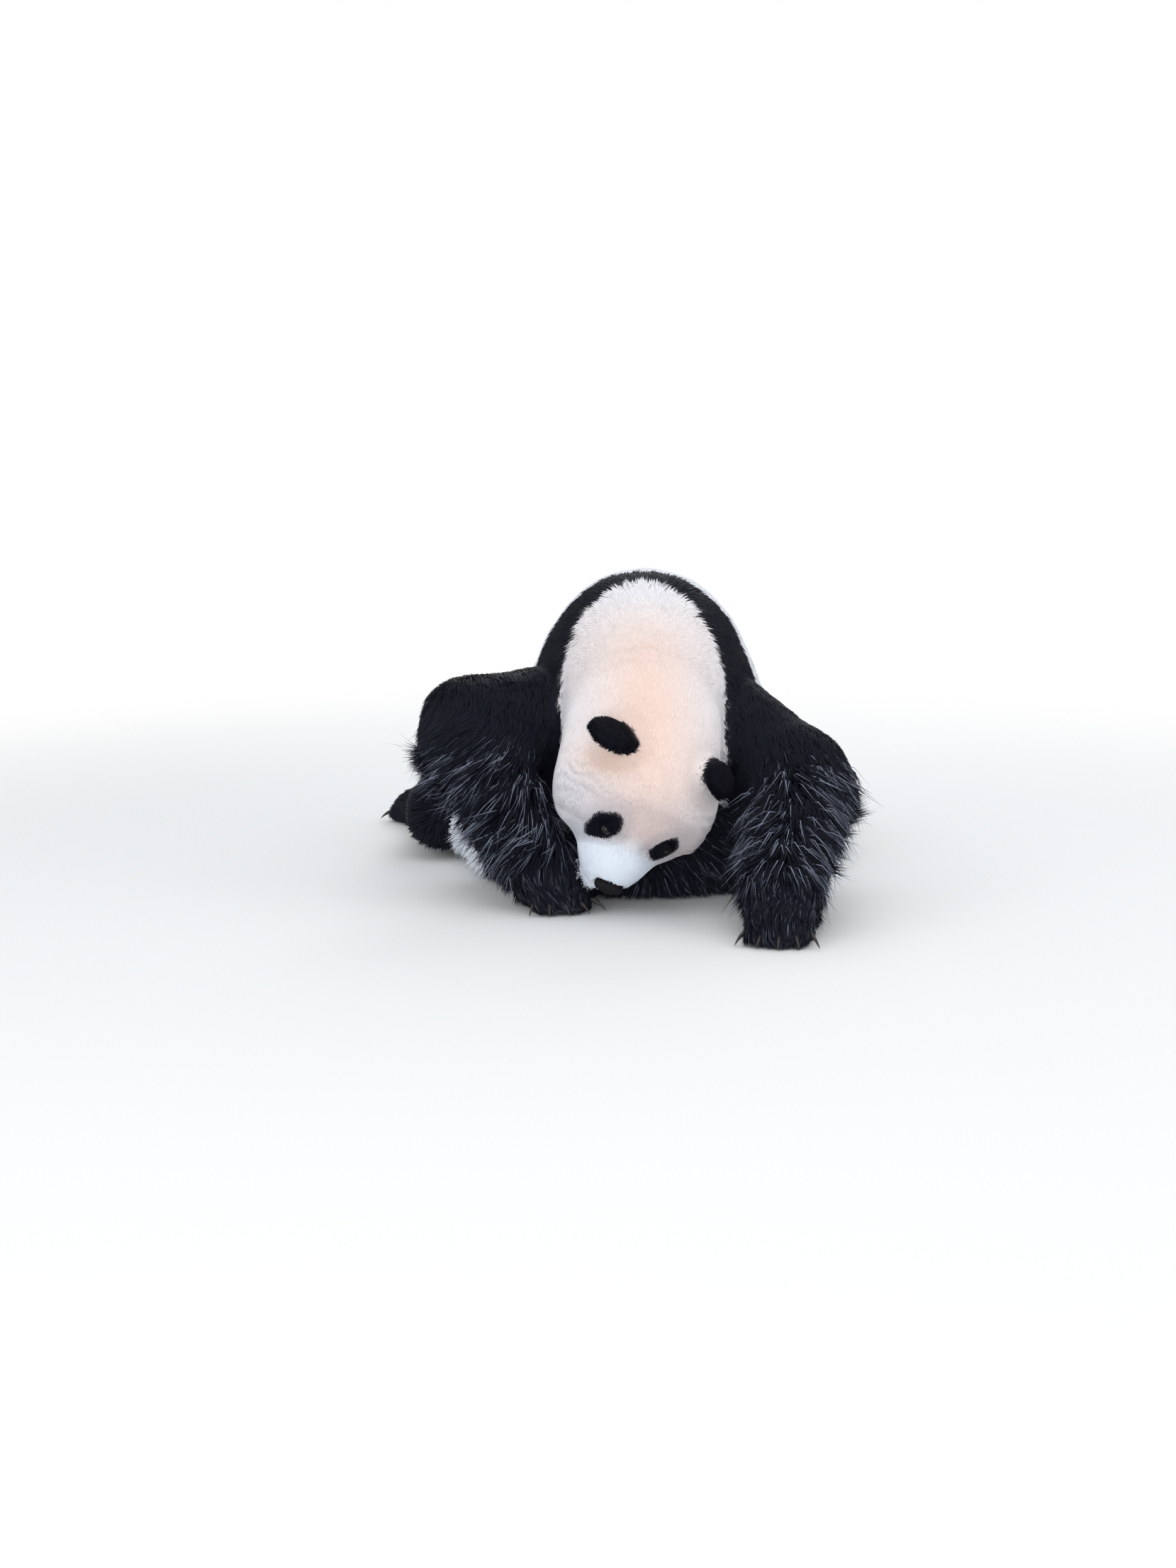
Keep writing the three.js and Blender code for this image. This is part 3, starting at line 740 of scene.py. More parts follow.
def round_facets(skin, regions, passes):
    """Smooths the skin, most where the body is broad and least on the ears and paws."""
    share = np.array([ROUNDING.get(n, 1.0) for n in REGION_NAMES])[regions]
    share = diffused(share, edges_of(skin.data), 6)
    smooth_by(skin, share, iterations=passes)
    low = 1 - smooth_step(0.05, 0.13, places(skin.data)[:, 2])
    smooth_by(skin, low * is_in(regions, *BROAD), iterations=4 * passes, use_z=False)


def inset(skin, regions):
    """Draws the skin in from the tips of the coat, by the coat's depth."""
    mesh = skin.data
    depth = np.array([REGIONS[n]["depth"] for n in REGION_NAMES])[regions]
    depth = diffused(depth, edges_of(mesh), SPREAD_OF_FUR)
    points = places(mesh)
    for node in EYES:
        away = distance_to(spot(node), points)
        depth = np.minimum(depth, 0.0035 + 0.12 * np.maximum(away - 0.02, 0))
    away = distance_to(spot("nose"), points)
    depth = np.minimum(depth, 0.0025 + 0.10 * np.maximum(away - 0.03, 0))
    move = -normals(mesh) * depth[:, None]
    low = 1 - smooth_step(0.0, 0.05, points[:, 2])
    move[:, 2] *= np.where(move[:, 2] > 0, 1 - 0.95 * low, 1)
    slump = 0.013 * (1 - smooth_step(0.0, 0.13, points[:, 2])) * is_in(regions, *BROAD)
    move[:, :2] += normals(mesh)[:, :2] * slump[:, None]
    points += move
    points[:, 2] = np.maximum(points[:, 2], LOWEST)
    move_vertices(mesh, points)


def carve_lids(skin, radius):
    """Draws the skin over each eyeball as two lids with a slit between them."""
    points = places(skin.data)
    for node in EYES:
        side = 1 if node == "eye_right" else -1
        gaze = np.array(gaze_of(node))
        slit = unit(np.cross(gaze, np.array(HEAD_AXES @ Vector((side, -0.35, 0)))))
        along = np.cross(slit, gaze)
        offset = points - spot(node)
        a, b, c = offset @ along, offset @ slit, offset @ gaze
        away = np.hypot(a, b)
        opening = (a / EYE_SLIT[0]) ** 2 + (b / EYE_SLIT[1]) ** 2
        lid = np.sqrt(np.maximum((radius + LID_THICKNESS) ** 2 - away ** 2, 0))
        crease = CREASE * np.exp(-((np.sqrt(opening) - 1.9) / 0.22) ** 2)
        behind = np.sqrt(np.maximum((radius - SOCKET_GAP) ** 2 - away ** 2, 0))
        target = np.where(opening > 1, lid - crease, behind)
        share = 1 - smooth_step(radius * 0.80, radius * 1.75, away)
        near = (away < FACE_REACH) & (np.abs(c - 0.006) < 0.014)
        share = np.where(near, share, 0)
        points += np.outer(share * (target - c), gaze)
    move_vertices(skin.data, points)


def carve_mouth(skin):
    """Presses in the line of the mouth, which runs back from under the nose on both sides."""
    points = places(skin.data)
    x, y, z = in_head(points).T
    line = -0.046 - 0.10 * np.abs(x) - 0.4 * np.maximum(0.145 - y, 0)
    groove = LIP_DEPTH * np.exp(-((z - line) / 0.0035) ** 2) * smooth_step(0.085, 0.13, y)
    below_nose = (z < -0.02) * (z > -0.05)
    cleft = CLEFT_DEPTH * np.exp(-(x / 0.0025) ** 2) * smooth_step(0.155, 0.17, y) * below_nose
    move_vertices(skin.data, points - normals(skin.data) * (groove + cleft)[:, None])


def fold_face(skin, regions):
    """Brows over the eyes, a hollow between eye and muzzle, and fine folds across the brow."""
    points = places(skin.data)
    x, y, z = in_head(points).T
    height = np.zeros(len(points))
    for side, at, *_ in EYE_PATCHES:
        out, along = side * x - at[0], y - at[1]
        brow = np.hypot((out + 0.004) / 0.040, (along + 0.040) / 0.014)
        height += BROW_HEIGHT * np.exp(-brow ** 2)
        hollow = np.hypot((out + 0.020) / 0.026, (along - 0.018) / 0.014)
        height -= HOLLOW_DEPTH * np.exp(-hollow ** 2)
    out = np.abs(x)
    root = 0.128 - 0.22 * out
    height -= MUZZLE_GROOVE * np.exp(-((y - root) / 0.0065) ** 2) * smooth_step(0.008, 0.03, out)
    fold, spacing = FINE_FOLDS
    waves = np.sin(2 * math.pi * (y + 0.30 * out + 0.02 * wander(points, 0.05, 4.0)) / spacing)
    brow = np.exp(-((y - 0.045) / 0.030) ** 2) * smooth_step(0.015, 0.05, out)
    height += fold * waves * brow
    height *= smooth_step(-0.045, -0.010, z) * is_in(regions, "head")
    move_vertices(skin.data, points + normals(skin.data) * height[:, None])


def unwrap(piece):
    pick(piece)
    bpy.ops.object.mode_set(mode="EDIT")
    bpy.ops.mesh.select_all(action="SELECT")
    bpy.ops.uv.smart_project(angle_limit=math.radians(66), island_margin=0.001)
    bpy.ops.object.mode_set(mode="OBJECT")
    piece.data.uv_layers.active.name = "OFBake"


def store_markings(skin, regions):
    marks = np.stack(markings(places(skin.data), regions), axis=1)
    soft = is_in(regions, *SOFT_EDGED)
    marks[soft] = diffused(marks, edges_of(skin.data), 3)[soft]
    store(skin.data, "markings", "FLOAT_COLOR", marks)
    store(skin.data, "region", "FLOAT", regions)


def store_fur(skin, regions, lengths):
    """Stores how long, wide, lifted and clumped the fur is, which changes little by little."""
    points = places(skin.data)
    edges = edges_of(skin.data)
    plain_share = smooth_step(*PLAIN_ABOVE, points[:, 2]) * is_in(regions, "forearm")
    throat_share = LOOSE_THROAT * (is_in(regions, "chest") & (points[:, 2] < THROAT_TOP))
    from_toes = [distance_to(spot(f"claw_front_{side}_3"), points) for side in ("right", "left")]
    wrist_share = smooth_step(0.12, 0.22, np.min(from_toes, axis=0)) * is_in(regions, "forepaw")
    for name in FUR_MEASURES:
        table = {r: lengths[r] if name == "length" else REGIONS[r][name] for r in REGION_NAMES}
        values = np.array(list(table.values()))[regions]
        shaggy, plain = table["forearm"], table["upper_arm"]
        if name in ("length", "lift"):
            plain = 0.3 * plain + 0.7 * shaggy
        for share, goal in ((plain_share, plain), (throat_share, shaggy), (wrist_share, shaggy)):
            values = values + (goal - values) * share
        store(skin.data, f"fur_{name}", "FLOAT", diffused(values, edges, SPREAD_OF_FUR))


class PANDA_OT_build_skin(bpy.types.Operator):
    """Fuses the flesh into one skin, draws it in under the coat, and gives it lids and markings"""
    bl_idname = "panda.build_skin"
    bl_label = "Build the skin"

    def execute(self, context):
        settings = context.scene.panda_skin
        flesh = FleshMap()
        skin = fuse_flesh(settings)
        round_facets(skin, flesh.regions(places(skin.data)), settings.rounding)
        for node in EYES:
            refine_near(skin, spot(node), FACE_REACH, 3)
        refine_near(skin, spot("nose"), MUZZLE_REACH, 1)
        regions = flesh.regions(places(skin.data))
        inset(skin, regions)
        fold_face(skin, regions)
        carve_lids(skin, settings.eye_radius)
        carve_mouth(skin)
        store_markings(skin, regions)
        coat = context.scene.panda_coat
        store_fur(skin, regions, {name: getattr(coat, REGIONS[name]["fur"]) for name in REGION_NAMES})
        skin.data.materials.append(skin_material(context.scene.panda_colours))
        skin.data.polygons.foreach_set("use_smooth", [True] * len(skin.data.polygons))
        unwrap(skin)
        finish_piece(skin, "white_coat", *FLESH)
        return {"FINISHED"}


# ---- Coat ----

class SkinField:
    """What the coat needs to know of the skin, at its triangles' corners."""

    def __init__(self, skin):
        mesh = skin.data
        self.points = places(mesh)
        self.normals = normals(mesh)
        self.edges = edges_of(mesh)
        self.regions = np.round(self.layer(mesh, "region")).astype(int)
        for name in FUR_MEASURES:
            setattr(self, name, self.layer(mesh, f"fur_{name}"))
        self.marks = read(mesh.attributes["markings"].data, "color", 4)
        lie = diffused(lie_of_coat(self.points, self.regions), self.edges, 60)
        lie -= self.normals * (lie * self.normals).sum(axis=1, keepdims=True)
        self.lie = unit(lie)
        mesh.calc_loop_triangles()
        self.triangles = read(mesh.loop_triangles, "vertices", 3, np.int32)
        loops = read(mesh.loop_triangles, "loops", 3, np.int32)
        self.uv = read(mesh.uv_layers["OFBake"].uv, "vector", 2)[loops]
        a, b, c = (self.points[self.triangles[:, i]] for i in range(3))
        self.areas = np.linalg.norm(np.cross(b - a, c - a), axis=1) / 2

    @staticmethod
    def layer(mesh, name):
        return read(mesh.attributes[name].data, "value").astype(np.float64)

    def at(self, values, rows, weights):
        """Values at the corners, mixed to the chosen places in the chosen triangles."""
        return np.einsum("ij,ij...->i...", weights, values[self.triangles[rows]])


SHORT_NEAR = {  # share of its length that fur keeps, and the distances between which it grows full
    "ear_right": (0.20, 0.050, 0.085), "ear_left": (0.20, 0.050, 0.085),
    "eye_right": (0.30, 0.012, 0.050), "eye_left": (0.30, 0.012, 0.050),
    "nose": (0.40, 0.02, 0.12),
}
BARE_EYE = 0.0098  # how far round the line of gaze no fur grows
BARE_NOSE = (0.032, 0.030, 0.021)  # half sizes of the bare place


def bare_places(points):
    """Where no fur grows: the slit of each eye and the nose."""
    bare = np.zeros(len(points), bool)
    for node in EYES:
        gaze = np.array(gaze_of(node))
        offset = points - spot(node)
        out = offset @ gaze
        away = np.linalg.norm(offset - np.outer(out, gaze), axis=1)
        bare |= (away < BARE_EYE) & (out > 0) & (out < 0.03)
    local = in_head(points) - np.array(NOSE_IN_HEAD)
    bare |= ((local / np.array(BARE_NOSE)) ** 2).sum(axis=1) < 1
    return bare


def fur_shortening(points, on_head):
    """Fur is shortest round the eyes and the nose, and short where the ears stand on the head."""
    share = np.ones(len(points))
    for node, (least, start, end) in SHORT_NEAR.items():
        near = least + (1 - least) * smooth_step(start, end, distance_to(spot(node), points))
        share = np.where(on_head | (not node.startswith("ear")), np.minimum(share, near), share)
    return np.minimum(share, 0.35 + 0.65 * smooth_step(0.0, 0.03, eye_patches(in_head(points))))


TUFT_CORNERS = 5
TUFT_FACES = np.array([(0, 2, 1), (0, 3, 2), (0, 1, 3), (1, 2, 4), (2, 3, 4), (3, 1, 4)])
TUFT_PATCH = np.array([(0, -0.5), (-0.45, 0.1), (0.45, 0.1), (0, 0.2), (0, 0.5)]) * 0.003
LOCK = 0.015  # how far apart the locks are that tufts draw together into
LOCK_NUMBERS = (12.9898, 78.233, 37.719)  # turn a lock's place into a number that looks random
MIDDLE, BEYOND = 0.42, 0.58  # shares of a tuft before its widest place and after it
RING = ((-0.5, -0.2), (0.5, -0.2), (0.0, 0.30))  # its three corners there: across and up, in widths
FINE_WIDTH, FINE_LENGTH = 0.46, 0.50  # a shining tuft's share of the width, and what is added
WAVE, RIPPLE = 0.026, 0.009  # lengths over which the coat's sway changes
COAT_BOTTOM = 0.0004
NOISE_SEED = 1  # unseeded, noise_vector takes its offsets from the clock, so each run differs
BLACK_PIECES = ("coat_shoulders", "coat_foreleg", "coat_forearm", "coat_paws")


def lock_centres(roots):
    """The middle of the lock that each tuft belongs to, and a number from 0 to 1 for that lock."""
    found = np.array([noise.voronoi(Vector(p) / LOCK)[1][0] for p in roots])
    luck = np.modf(np.abs(found @ np.array(LOCK_NUMBERS)) * 43.7585)[0]
    return found * LOCK, luck


def tuft_mesh(name, roots, lies, normal, length, width, lift, clump, bend, gather, marks, random, uv):
    """Closed three-sided tufts, each a leaf with a root, a ring of three corners and a tip."""
    count = len(roots)
    across = unit(np.cross(lies, normal))
    tilt = np.radians(lift)[:, None]
    start = lies * np.cos(tilt) + normal * np.sin(tilt)
    tip_tilt = tilt * 0.35
    end = unit(lies * np.cos(tip_tilt) + normal * np.sin(tip_tilt) + bend)
    upward = unit(np.cross(across, start))
    middle = roots + start * (length * MIDDLE)[:, None] + 0.45 * gather
    tips = middle + end * (length * BEYOND)[:, None] + 0.90 * gather
    corners = np.empty((count, TUFT_CORNERS, 3))
    corners[:, 0] = roots
    upward *= np.clip(0.30 + clump, 0, 1)[:, None]
    for place, (turn, high) in enumerate(RING, 1):
        corners[:, place] = middle + across * (width * turn)[:, None] + upward * (width * high)[:, None]
    corners[:, 4] = tips
    steps = np.arange(count)[:, None, None] * TUFT_CORNERS
    all_faces = (TUFT_FACES[None] + steps).reshape(-1, 3)

    mesh = bpy.data.meshes.new(name)
    mesh.vertices.add(count * TUFT_CORNERS)
    mesh.vertices.foreach_set("co", corners.astype(np.float32).ravel())
    mesh.loops.add(len(all_faces) * 3)
    mesh.loops.foreach_set("vertex_index", all_faces.astype(np.int32).ravel())
    mesh.polygons.add(len(all_faces))
    mesh.polygons.foreach_set("loop_start", np.arange(len(all_faces), dtype=np.int32) * 3)
    mesh.polygons.foreach_set("use_smooth", np.zeros(len(all_faces), bool))
    mesh.polygons.foreach_set("material_index",
                              np.repeat((marks[:, 0] > 0.5).astype(np.int32), len(TUFT_FACES)))
    strand = np.ones((count, TUFT_CORNERS, 4))
    strand[:, :, 0] = (0, 0.45, 0.45, 0.45, 1.0)
    strand[:, :, 1] = random[:, None]
    strand[:, :, 2] = clump[:, None]
    store(mesh, "strand", "FLOAT_COLOR", strand)
    store(mesh, "markings", "FLOAT_COLOR", np.repeat(marks, TUFT_CORNERS, axis=0))
    spread = np.clip(uv[:, None] + TUFT_PATCH[None], 0.0, 1.0).reshape(-1, 2)
    layer = mesh.uv_layers.new(name="OFBake")
    layer.uv.foreach_set("vector", spread[all_faces.ravel()].astype(np.float32).ravel())
    mesh.update()
    mesh.validate()
    return mesh


def grow(name, field, rows, count, rng):
    """Tufts over the given triangles of the skin, as even as chance allows."""
    share = field.areas[rows] * (0.25 + 0.75 * (field.normals[field.triangles[rows, 0], 2] > -0.75))
    low = field.points[field.triangles[rows, 0], 2] < 0.006
    share = np.where(low, 0.0, share)
    wanted = share / share.sum() * count
    number = np.floor(wanted + rng.random(len(rows))).astype(int)
    chosen = np.repeat(rows, number)[:MOST_TUFTS]
    weights = rng.dirichlet((1.2, 1.2, 1.2), len(chosen))
    roots = field.at(field.points, chosen, weights)
    keep = ~bare_places(roots)
    chosen, weights, roots = chosen[keep], weights[keep], roots[keep]
    normal = unit(field.at(field.normals, chosen, weights))
    lies = unit(field.at(field.lie, chosen, weights))
    on_head = is_in(field.regions[field.triangles[chosen, 0]], "head")
    share = fur_shortening(roots, on_head)
    length, width, lift, clump, marks = (field.at(values, chosen, weights) for values in (
        field.length, field.width, field.lift, field.clump, field.marks))
    length = length * share
    width = width * np.clip(length / 0.014, 0.55, 1.0)
    edge = np.clip(marks[:, 0] + (rng.random(len(roots)) - 0.5) * 0.25, 0, 1)
    mixed = (marks[:, 0] > 0.06) & (marks[:, 0] < 0.94)
    marks[:, 0] = np.where(mixed, smooth_step(0.35, 0.65, edge), np.round(marks[:, 0]))

    random = rng.random((len(roots), 4))
    centres, luck = lock_centres(roots)
    gather = centres - roots
    gather -= normal * (gather * normal).sum(axis=1, keepdims=True)
    gather *= clump[:, None]
    locks = np.array([noise.noise_vector(Vector(p) / WAVE) for p in roots])
    strands = np.array([noise.noise_vector(Vector(p) / RIPPLE + Vector((5, 0, 2))) for p in roots])
    sway = (locks * 0.6 + strands * 0.2) * clump[:, None]
    lies = unit(lies + sway + (random[:, :3] - 0.5) * 0.14)
    lies = unit(lies - normal * (lies * normal).sum(axis=1, keepdims=True))
    lift = (lift + 9 * (1 - share)) * (0.55 + 0.9 * random[:, 3]) * (1 + 0.8 * clump * locks[:, 2])
    length = length * (0.78 + 0.35 * random[:, 0]) * (1 + clump * (0.7 * luck - 0.35))
    fine = random[:, 2] > GLINT
    width = width * (0.75 + 0.5 * random[:, 1]) * np.where(fine, FINE_WIDTH, 1.0)
    length = length * np.where(fine, 1 + FINE_LENGTH * clump, 1.0)
    bend = locks * (clump * 0.8)[:, None]
    bend[:, 2] -= 0.06 + 0.30 * clump
    low = np.minimum(1, np.maximum(roots[:, 2] - 0.004, 0.002) / (length * 0.6))
    lies[:, 2] = np.where(lies[:, 2] < 0, lies[:, 2] * low, lies[:, 2])
    uv = np.einsum("ij,ijk->ik", weights, field.uv[chosen])
    sunk = roots - normal * np.minimum(0.0012, 0.04 * length)[:, None]
    mesh = tuft_mesh(name, sunk, unit(lies), normal, length, width, lift,
                     clump, bend, gather, marks, random[:, 2], uv)
    points = places(mesh)
    points[:, 2] = np.maximum(points[:, 2], COAT_BOTTOM)
    move_vertices(mesh, points)
    piece = bpy.data.objects.new(name, mesh)
    bpy.context.collection.objects.link(piece)
    return piece


class PANDA_OT_grow_coat(bpy.types.Operator):
    """Grows the coat in tufts that follow its lie, one piece for each stretch of the body"""
    bl_idname = "panda.grow_coat"
    bl_label = "Grow the coat"

    def execute(self, context):
        skin = bpy.data.objects.get("skin")
        if skin is None:
            raise RuntimeError("the skin has to be built before the coat")
        amount = context.scene.panda_coat.amount * 1.0
        noise.seed_set(NOISE_SEED)
        field = SkinField(skin)
        colours = context.scene.panda_colours
        fur = [fur_material("white_fur", colours, False), fur_material("black_fur", colours, True)]
        first = field.regions[field.triangles[:, 0]]
        where = field.points[field.triangles[:, 0], 0]
        for seed, (name, regions) in enumerate(COAT_PIECES.items()):
            rng = np.random.default_rng(100 + seed)
            parts = []
            for region in regions:
                inside = is_in(first, region)
                count = REGIONS[region]["count"]
                if region == "thigh":
                    inside &= (where < 0) if name.endswith("right") else (where > 0)
                    count /= 2
                rows = np.nonzero(inside)[0]
                if name == "coat_face":
                    halves = (where[rows] < HEAD_AT.x, where[rows] >= HEAD_AT.x)
                    parts += [(rows[half], count / 2) for half in halves]
                else:
                    parts.append((rows, count))
            for index, (rows, count) in enumerate(parts):
                label = name if len(parts) == 1 else f"{name}_{index + 1}"
                piece = grow(label, field, rows, count * amount, rng)
                for material in fur:
                    piece.data.materials.append(material)
                finish_piece(piece, "black_coat" if name in BLACK_PIECES else "white_coat")
        return {"FINISHED"}


# ---- Eyes, nose and claws ----

class PANDA_OT_build_eyes(bpy.types.Operator):
    """Two eyeballs, each with a bulging cornea over its iris"""
    bl_idname = "panda.build_eyes"
    bl_label = "Build the eyes"

    def execute(self, context):
        radius = context.scene.panda_skin.eye_radius
        material = eye_material(context.scene.panda_colours)
        for node in EYES:
            deselect_all()
            bpy.ops.mesh.primitive_uv_sphere_add(segments=48, ring_count=32, radius=radius)
            eye = bpy.context.object
            eye.name = node.replace("eye", "eyeball")
            points = places(eye.data)
            angle = np.arccos(np.clip(points[:, 2] / radius, -1, 1))
            cornea = 0.07 * (1 - smooth_step(0.0, 0.75, angle))
            points *= 1 + cornea[:, None]
            turn = Vector((0, 0, 1)).rotation_difference(gaze_of(node)).to_matrix()
            points = points @ np.array(turn).T + spot(node)
            move_vertices(eye.data, points)
            store(eye.data, "gaze", "FLOAT", angle / math.pi * 2)
            bpy.ops.object.shade_smooth()
            eye.data.materials.append(material)
            finish_piece(eye, "eye_cornea", node)
        return {"FINISHED"}


NOSE_TWIST = 12  # degrees by which it is turned on the muzzle
NOSE_HALF = (0.0270, 0.0150, 0.0135)
NOSE_SHIFT = (-0.002, 0.001, -0.003)  # from its place in the head's axes
# On a nose of half size 1: a nostril and the slit beside it, each a place and half sizes.
NOSTRIL = ((0.46, -0.02), (0.20, 0.30))
SIDE_SLIT = ((0.72, -0.30), (0.20, 0.13))
NOSTRIL_DEPTH, NOSTRIL_RIM, NOSE_CLEFT = 0.0110, 0.0012, 0.0035


class PANDA_OT_build_nose(bpy.types.Operator):
    """The nose leather, with two comma-shaped nostrils and a cleft below"""
    bl_idname = "panda.build_nose"
    bl_label = "Build the nose"

    def execute(self, context):
        deselect_all()
        bpy.ops.mesh.primitive_uv_sphere_add(segments=96, ring_count=64, radius=1.0)
        nose = bpy.context.object
        nose.name = "nose_leather"
        x, y, z = places(nose.data).T
        flat = np.sign(x) * np.abs(x) ** 0.85
        taper = 1 - 0.22 * np.clip(-z, 0, 1)
        shape = np.stack([NOSE_HALF[0] * flat * taper, NOSE_HALF[1] * y, NOSE_HALF[2] * z], axis=1)
        front = smooth_step(0.0, 0.45, y)
        for side in (1, -1):
            (across, high), (width, height) = NOSTRIL
            out = side * x - across
            u, v = out / width, (z - high + 0.35 * out) / height
            hole = np.exp(-(u * u + v * v) ** 1.5) * front
            rim = np.exp(-((np.hypot(u, v) - 1.35) / 0.35) ** 2) * front
            (across, high), (width, height) = SIDE_SLIT
            u, v = (side * x - across) / width, (z - high) / height
            hole = np.maximum(hole, 0.8 * np.exp(-(u * u + v * v) ** 1.5) * front)
            shape[:, 1] += -NOSTRIL_DEPTH * hole + NOSTRIL_RIM * rim
        shape[:, 1] -= NOSE_CLEFT * (np.exp(-(x / 0.07) ** 2) * front * (z < 0.1))
        shape = shape @ np.array(Matrix.Rotation(math.radians(NOSE_TWIST), 3, "Y")).T
        shape += np.array(NOSE_IN_HEAD) + NOSE_SHIFT
        points = shape @ np.array(HEAD_AXES).T + np.array(HEAD_AT)
        move_vertices(nose.data, points)
        bpy.ops.object.shade_smooth()
        nose.data.materials.append(leather_material(context.scene.panda_colours))
        finish_piece(nose, "nose_leather", "nose")
        return {"FINISHED"}


CLAW_LENGTH = 0.034
CLAW_HALF = (0.0046, 0.0062)  # half its width and its height at the root
CLAW_HEIGHT, CLAW_DROP = 0.0225, 0.019  # of its root over the floor, and of its tip below its root


class PANDA_OT_build_claws(bpy.types.Operator):
    """A curved claw on each toe, in the place of the frame's claws"""
    bl_idname = "panda.build_claws"
    bl_label = "Build the claws"

    def execute(self, context):
        deselect_all()
        bpy.ops.mesh.primitive_cylinder_add(vertices=20, radius=1.0, depth=1.0, end_fill_type="TRIFAN")
        pattern = bpy.context.object
        bpy.ops.object.mode_set(mode="EDIT")
        bpy.ops.mesh.select_all(action="SELECT")
        bpy.ops.mesh.bisect(plane_co=(0, 0, 0), plane_no=(0, 0, 1))
        bpy.ops.object.mode_set(mode="OBJECT")
        apply_modifier(pattern, "SUBSURF", levels=2, subdivision_type="SIMPLE")
        stick = places(pattern.data)
        along = stick[:, 2] + 0.5
        taper = np.sqrt(np.maximum(1 - along, 0)) * (1 - 0.25 * along)
        material = horn_material(context.scene.panda_colours)
        for node in CLAWS:
            claw = pattern.copy()
            claw.data = pattern.data.copy()
            claw.name = node.replace("claw", "horn")
            bpy.context.collection.objects.link(claw)
            low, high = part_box(node)
            outer = places(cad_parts[node].data)
            paw = ("forepaw_" if "front" in node else "hindpaw_") + node.split("_")[2]
            heading = unit((spot(node) - spot(paw)) * (1, 1, 0))
            reach = (outer @ heading).max()
            middle = (np.array(low) + np.array(high)) / 2
            tip = middle + heading * (reach - middle @ heading)
            base = tip - heading * CLAW_LENGTH
            across = np.cross(heading, (0, 0, 1))
            height = CLAW_HEIGHT - CLAW_DROP * along ** 2.2 + CLAW_HALF[1] * taper * stick[:, 1]
            points = (base[None] + np.outer(along * CLAW_LENGTH, heading)
                      + np.outer(CLAW_HALF[0] * taper * stick[:, 0], across))
            points[:, 2] = np.maximum(height, 0.0003)
            move_vertices(claw.data, points)
            claw.data.polygons.foreach_set("use_smooth", [True] * len(claw.data.polygons))
            claw.data.materials.append(material)
            finish_piece(claw, "claw_horn", node)
        bpy.data.objects.remove(pattern)
        return {"FINISHED"}


# ---- Stage ----

CAMERA_AT = Vector((-0.0715, -3.62, 0.85))  # from the body's origin
CAMERA_DOWN = 10.1
CAMERA_LENS = 44.38
FLOOR_FADE = (1.1, 3.0)  # how far out the floor turns to plain white
LAMPS = (  # name, place, target, size, watts
    ("sky", (0.2, -0.9, 3.4), (0.0, 0.0, 0.2), 3.4, 20),
    ("front_window", (-0.2, -4.4, 0.4), (0.0, -0.1, 0.15), 2.4, 90),
    ("left_window", (-3.0, -2.2, 2.2), (0.0, -0.1, 0.3), 2.2, 20),
    ("right_window", (3.0, -1.4, 2.0), (0.0, 0.0, 0.3), 2.2, 18),
    ("back", (0.6, 3.0, 2.6), (0.0, 0.2, 0.3), 2.2, 30),
)


def stage_material(colours):
    """A pale floor that keeps the shadow, and shows plain white where it is only a background."""
    shader = Shader("pale_floor")
    shader.set(Roughness=0.9, Specular_IOR_Level=0.1)
    speckle = shader.noise(60.0, 3.0)
    colour = shader.mix(shader.scaled(speckle, 0.0, 0.03), tuple(colours.floor), (0.7, 0.7, 0.7))
    shader.join(colour, shader.surface.inputs["Base Color"])
    place = shader.node("ShaderNodeNewGeometry").outputs["Position"]
    away = shader.node("ShaderNodeVectorMath", operation="LENGTH")
    shader.join(place, away.inputs[0])
    fade = shader.scaled(away.outputs["Value"], 0.0, 1.0, *FLOOR_FADE, kind="SMOOTHSTEP")
    seen = shader.product(fade, shader.node("ShaderNodeLightPath").outputs["Is Camera Ray"])
    mixer = shader.node("ShaderNodeMixShader")
    glow = shader.node("ShaderNodeEmission")
    for output, socket in zip((seen, shader.surface.outputs[0], glow.outputs[0]), mixer.inputs):
        shader.join(output, socket)
    shader.join(mixer.outputs[0], shader.tree.nodes["Material Output"].inputs["Surface"])
    return shader.material


def studio_world():
    """White to the camera and to rays passing through, and a soft grey-white light on the object and in
    its reflections.
    """
    world = bpy.data.worlds.new("studio")
    bpy.context.scene.world = world
    world.use_nodes = True
    tree = world.node_tree
    soft = tree.nodes["Background"]
    fill(soft, Color=(0.94, 0.97, 1.0, 1), Strength=0.72)
    plain = tree.nodes.new("ShaderNodeBackground")
    fill(plain, Color=(1, 1, 1, 1))
    path = tree.nodes.new("ShaderNodeLightPath")
    seen = tree.nodes.new("ShaderNodeMath")
    seen.operation = "MAXIMUM"
    mixer = tree.nodes.new("ShaderNodeMixShader")
    for output, socket in (
        (path.outputs["Is Camera Ray"], seen.inputs[0]),
        (path.outputs["Is Transmission Ray"], seen.inputs[1]),
        (seen.outputs[0], mixer.inputs[0]),
        (soft.outputs[0], mixer.inputs[1]),
        (plain.outputs[0], mixer.inputs[2]),
        (mixer.outputs[0], tree.nodes["World Output"].inputs["Surface"]),
    ):
        tree.links.new(output, socket)


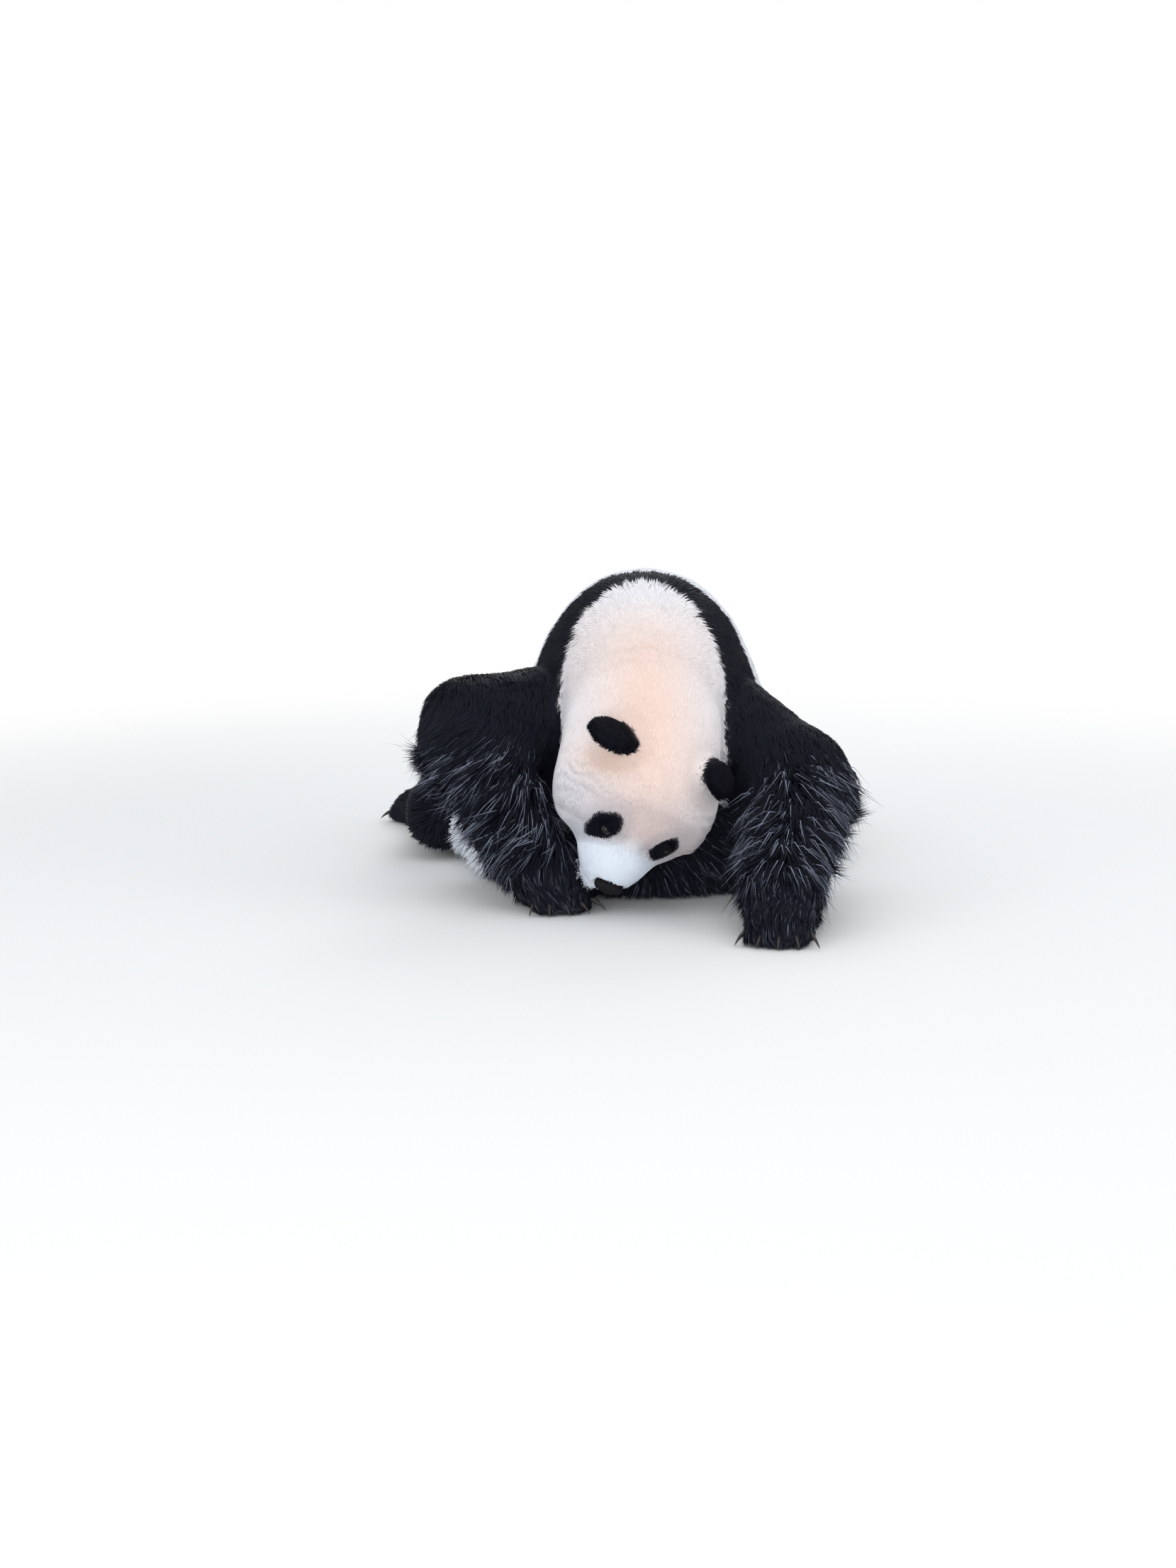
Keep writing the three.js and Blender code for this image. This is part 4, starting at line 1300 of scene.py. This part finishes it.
class PANDA_OT_set_stage(bpy.types.Operator):
    """A plain pale floor, soft lamps all round and the camera"""
    bl_idname = "panda.set_stage"
    bl_label = "Set the stage"

    def execute(self, context):
        deselect_all()
        bpy.ops.mesh.primitive_plane_add(size=60.0)
        floor = bpy.context.object
        floor.name = "floor"
        floor.data.materials.append(stage_material(context.scene.panda_colours))
        for name, place, target, size, power in LAMPS:
            lamp = bpy.data.lights.new(name, "AREA")
            lamp.shape = "DISK"
            lamp.size = size
            lamp.energy = power
            holder = bpy.data.objects.new(name, lamp)
            holder.location = place
            direction = Vector(target) - Vector(place)
            holder.rotation_euler = direction.to_track_quat("-Z", "Y").to_euler()
            context.collection.objects.link(holder)
        studio_world()
        camera = bpy.data.objects.new("camera", bpy.data.cameras.new("camera"))
        camera.data.sensor_width = 36.0
        camera.data.lens = CAMERA_LENS
        camera.location = BODY_ORIGIN + CAMERA_AT
        camera.rotation_euler = (math.radians(90 - CAMERA_DOWN), 0, 0)
        context.collection.objects.link(camera)
        context.scene.camera = camera
        context.scene.view_settings.view_transform = "Standard"
        return {"FINISHED"}


# ---- Panel and registration ----

class PANDA_PT_build(bpy.types.Panel):
    """The panda's pieces and settings"""
    bl_idname = "PANDA_PT_build"
    bl_label = "Giant panda"
    bl_space_type = "VIEW_3D"
    bl_region_type = "UI"
    bl_category = "Panda"

    def draw(self, context):
        for operator in OPERATORS:
            self.layout.operator(operator.bl_idname)
        for group in SETTINGS:
            box = self.layout.box()
            settings = getattr(context.scene, group)
            for name in settings.bl_rna.properties.keys():
                if name not in ("rna_type", "name"):
                    box.prop(settings, name)


OPERATORS = (PANDA_OT_build_skin, PANDA_OT_build_eyes, PANDA_OT_build_nose, PANDA_OT_build_claws,
             PANDA_OT_grow_coat, PANDA_OT_set_stage)
SETTINGS = {"panda_coat": PandaCoatSettings, "panda_colours": PandaColourSettings,
            "panda_skin": PandaSkinSettings}


def register():
    for cls in (*SETTINGS.values(), *OPERATORS, PANDA_PT_build):
        bpy.utils.register_class(cls)
    for name, cls in SETTINGS.items():
        setattr(bpy.types.Scene, name, PointerProperty(type=cls))


def unregister():
    for name in SETTINGS:
        delattr(bpy.types.Scene, name)
    for cls in reversed((*SETTINGS.values(), *OPERATORS, PANDA_PT_build)):
        bpy.utils.unregister_class(cls)


def main():
    register()
    for operator in OPERATORS:
        getattr(bpy.ops.panda, operator.bl_idname.removeprefix("panda."))()


if __name__ == "__main__":
    main()
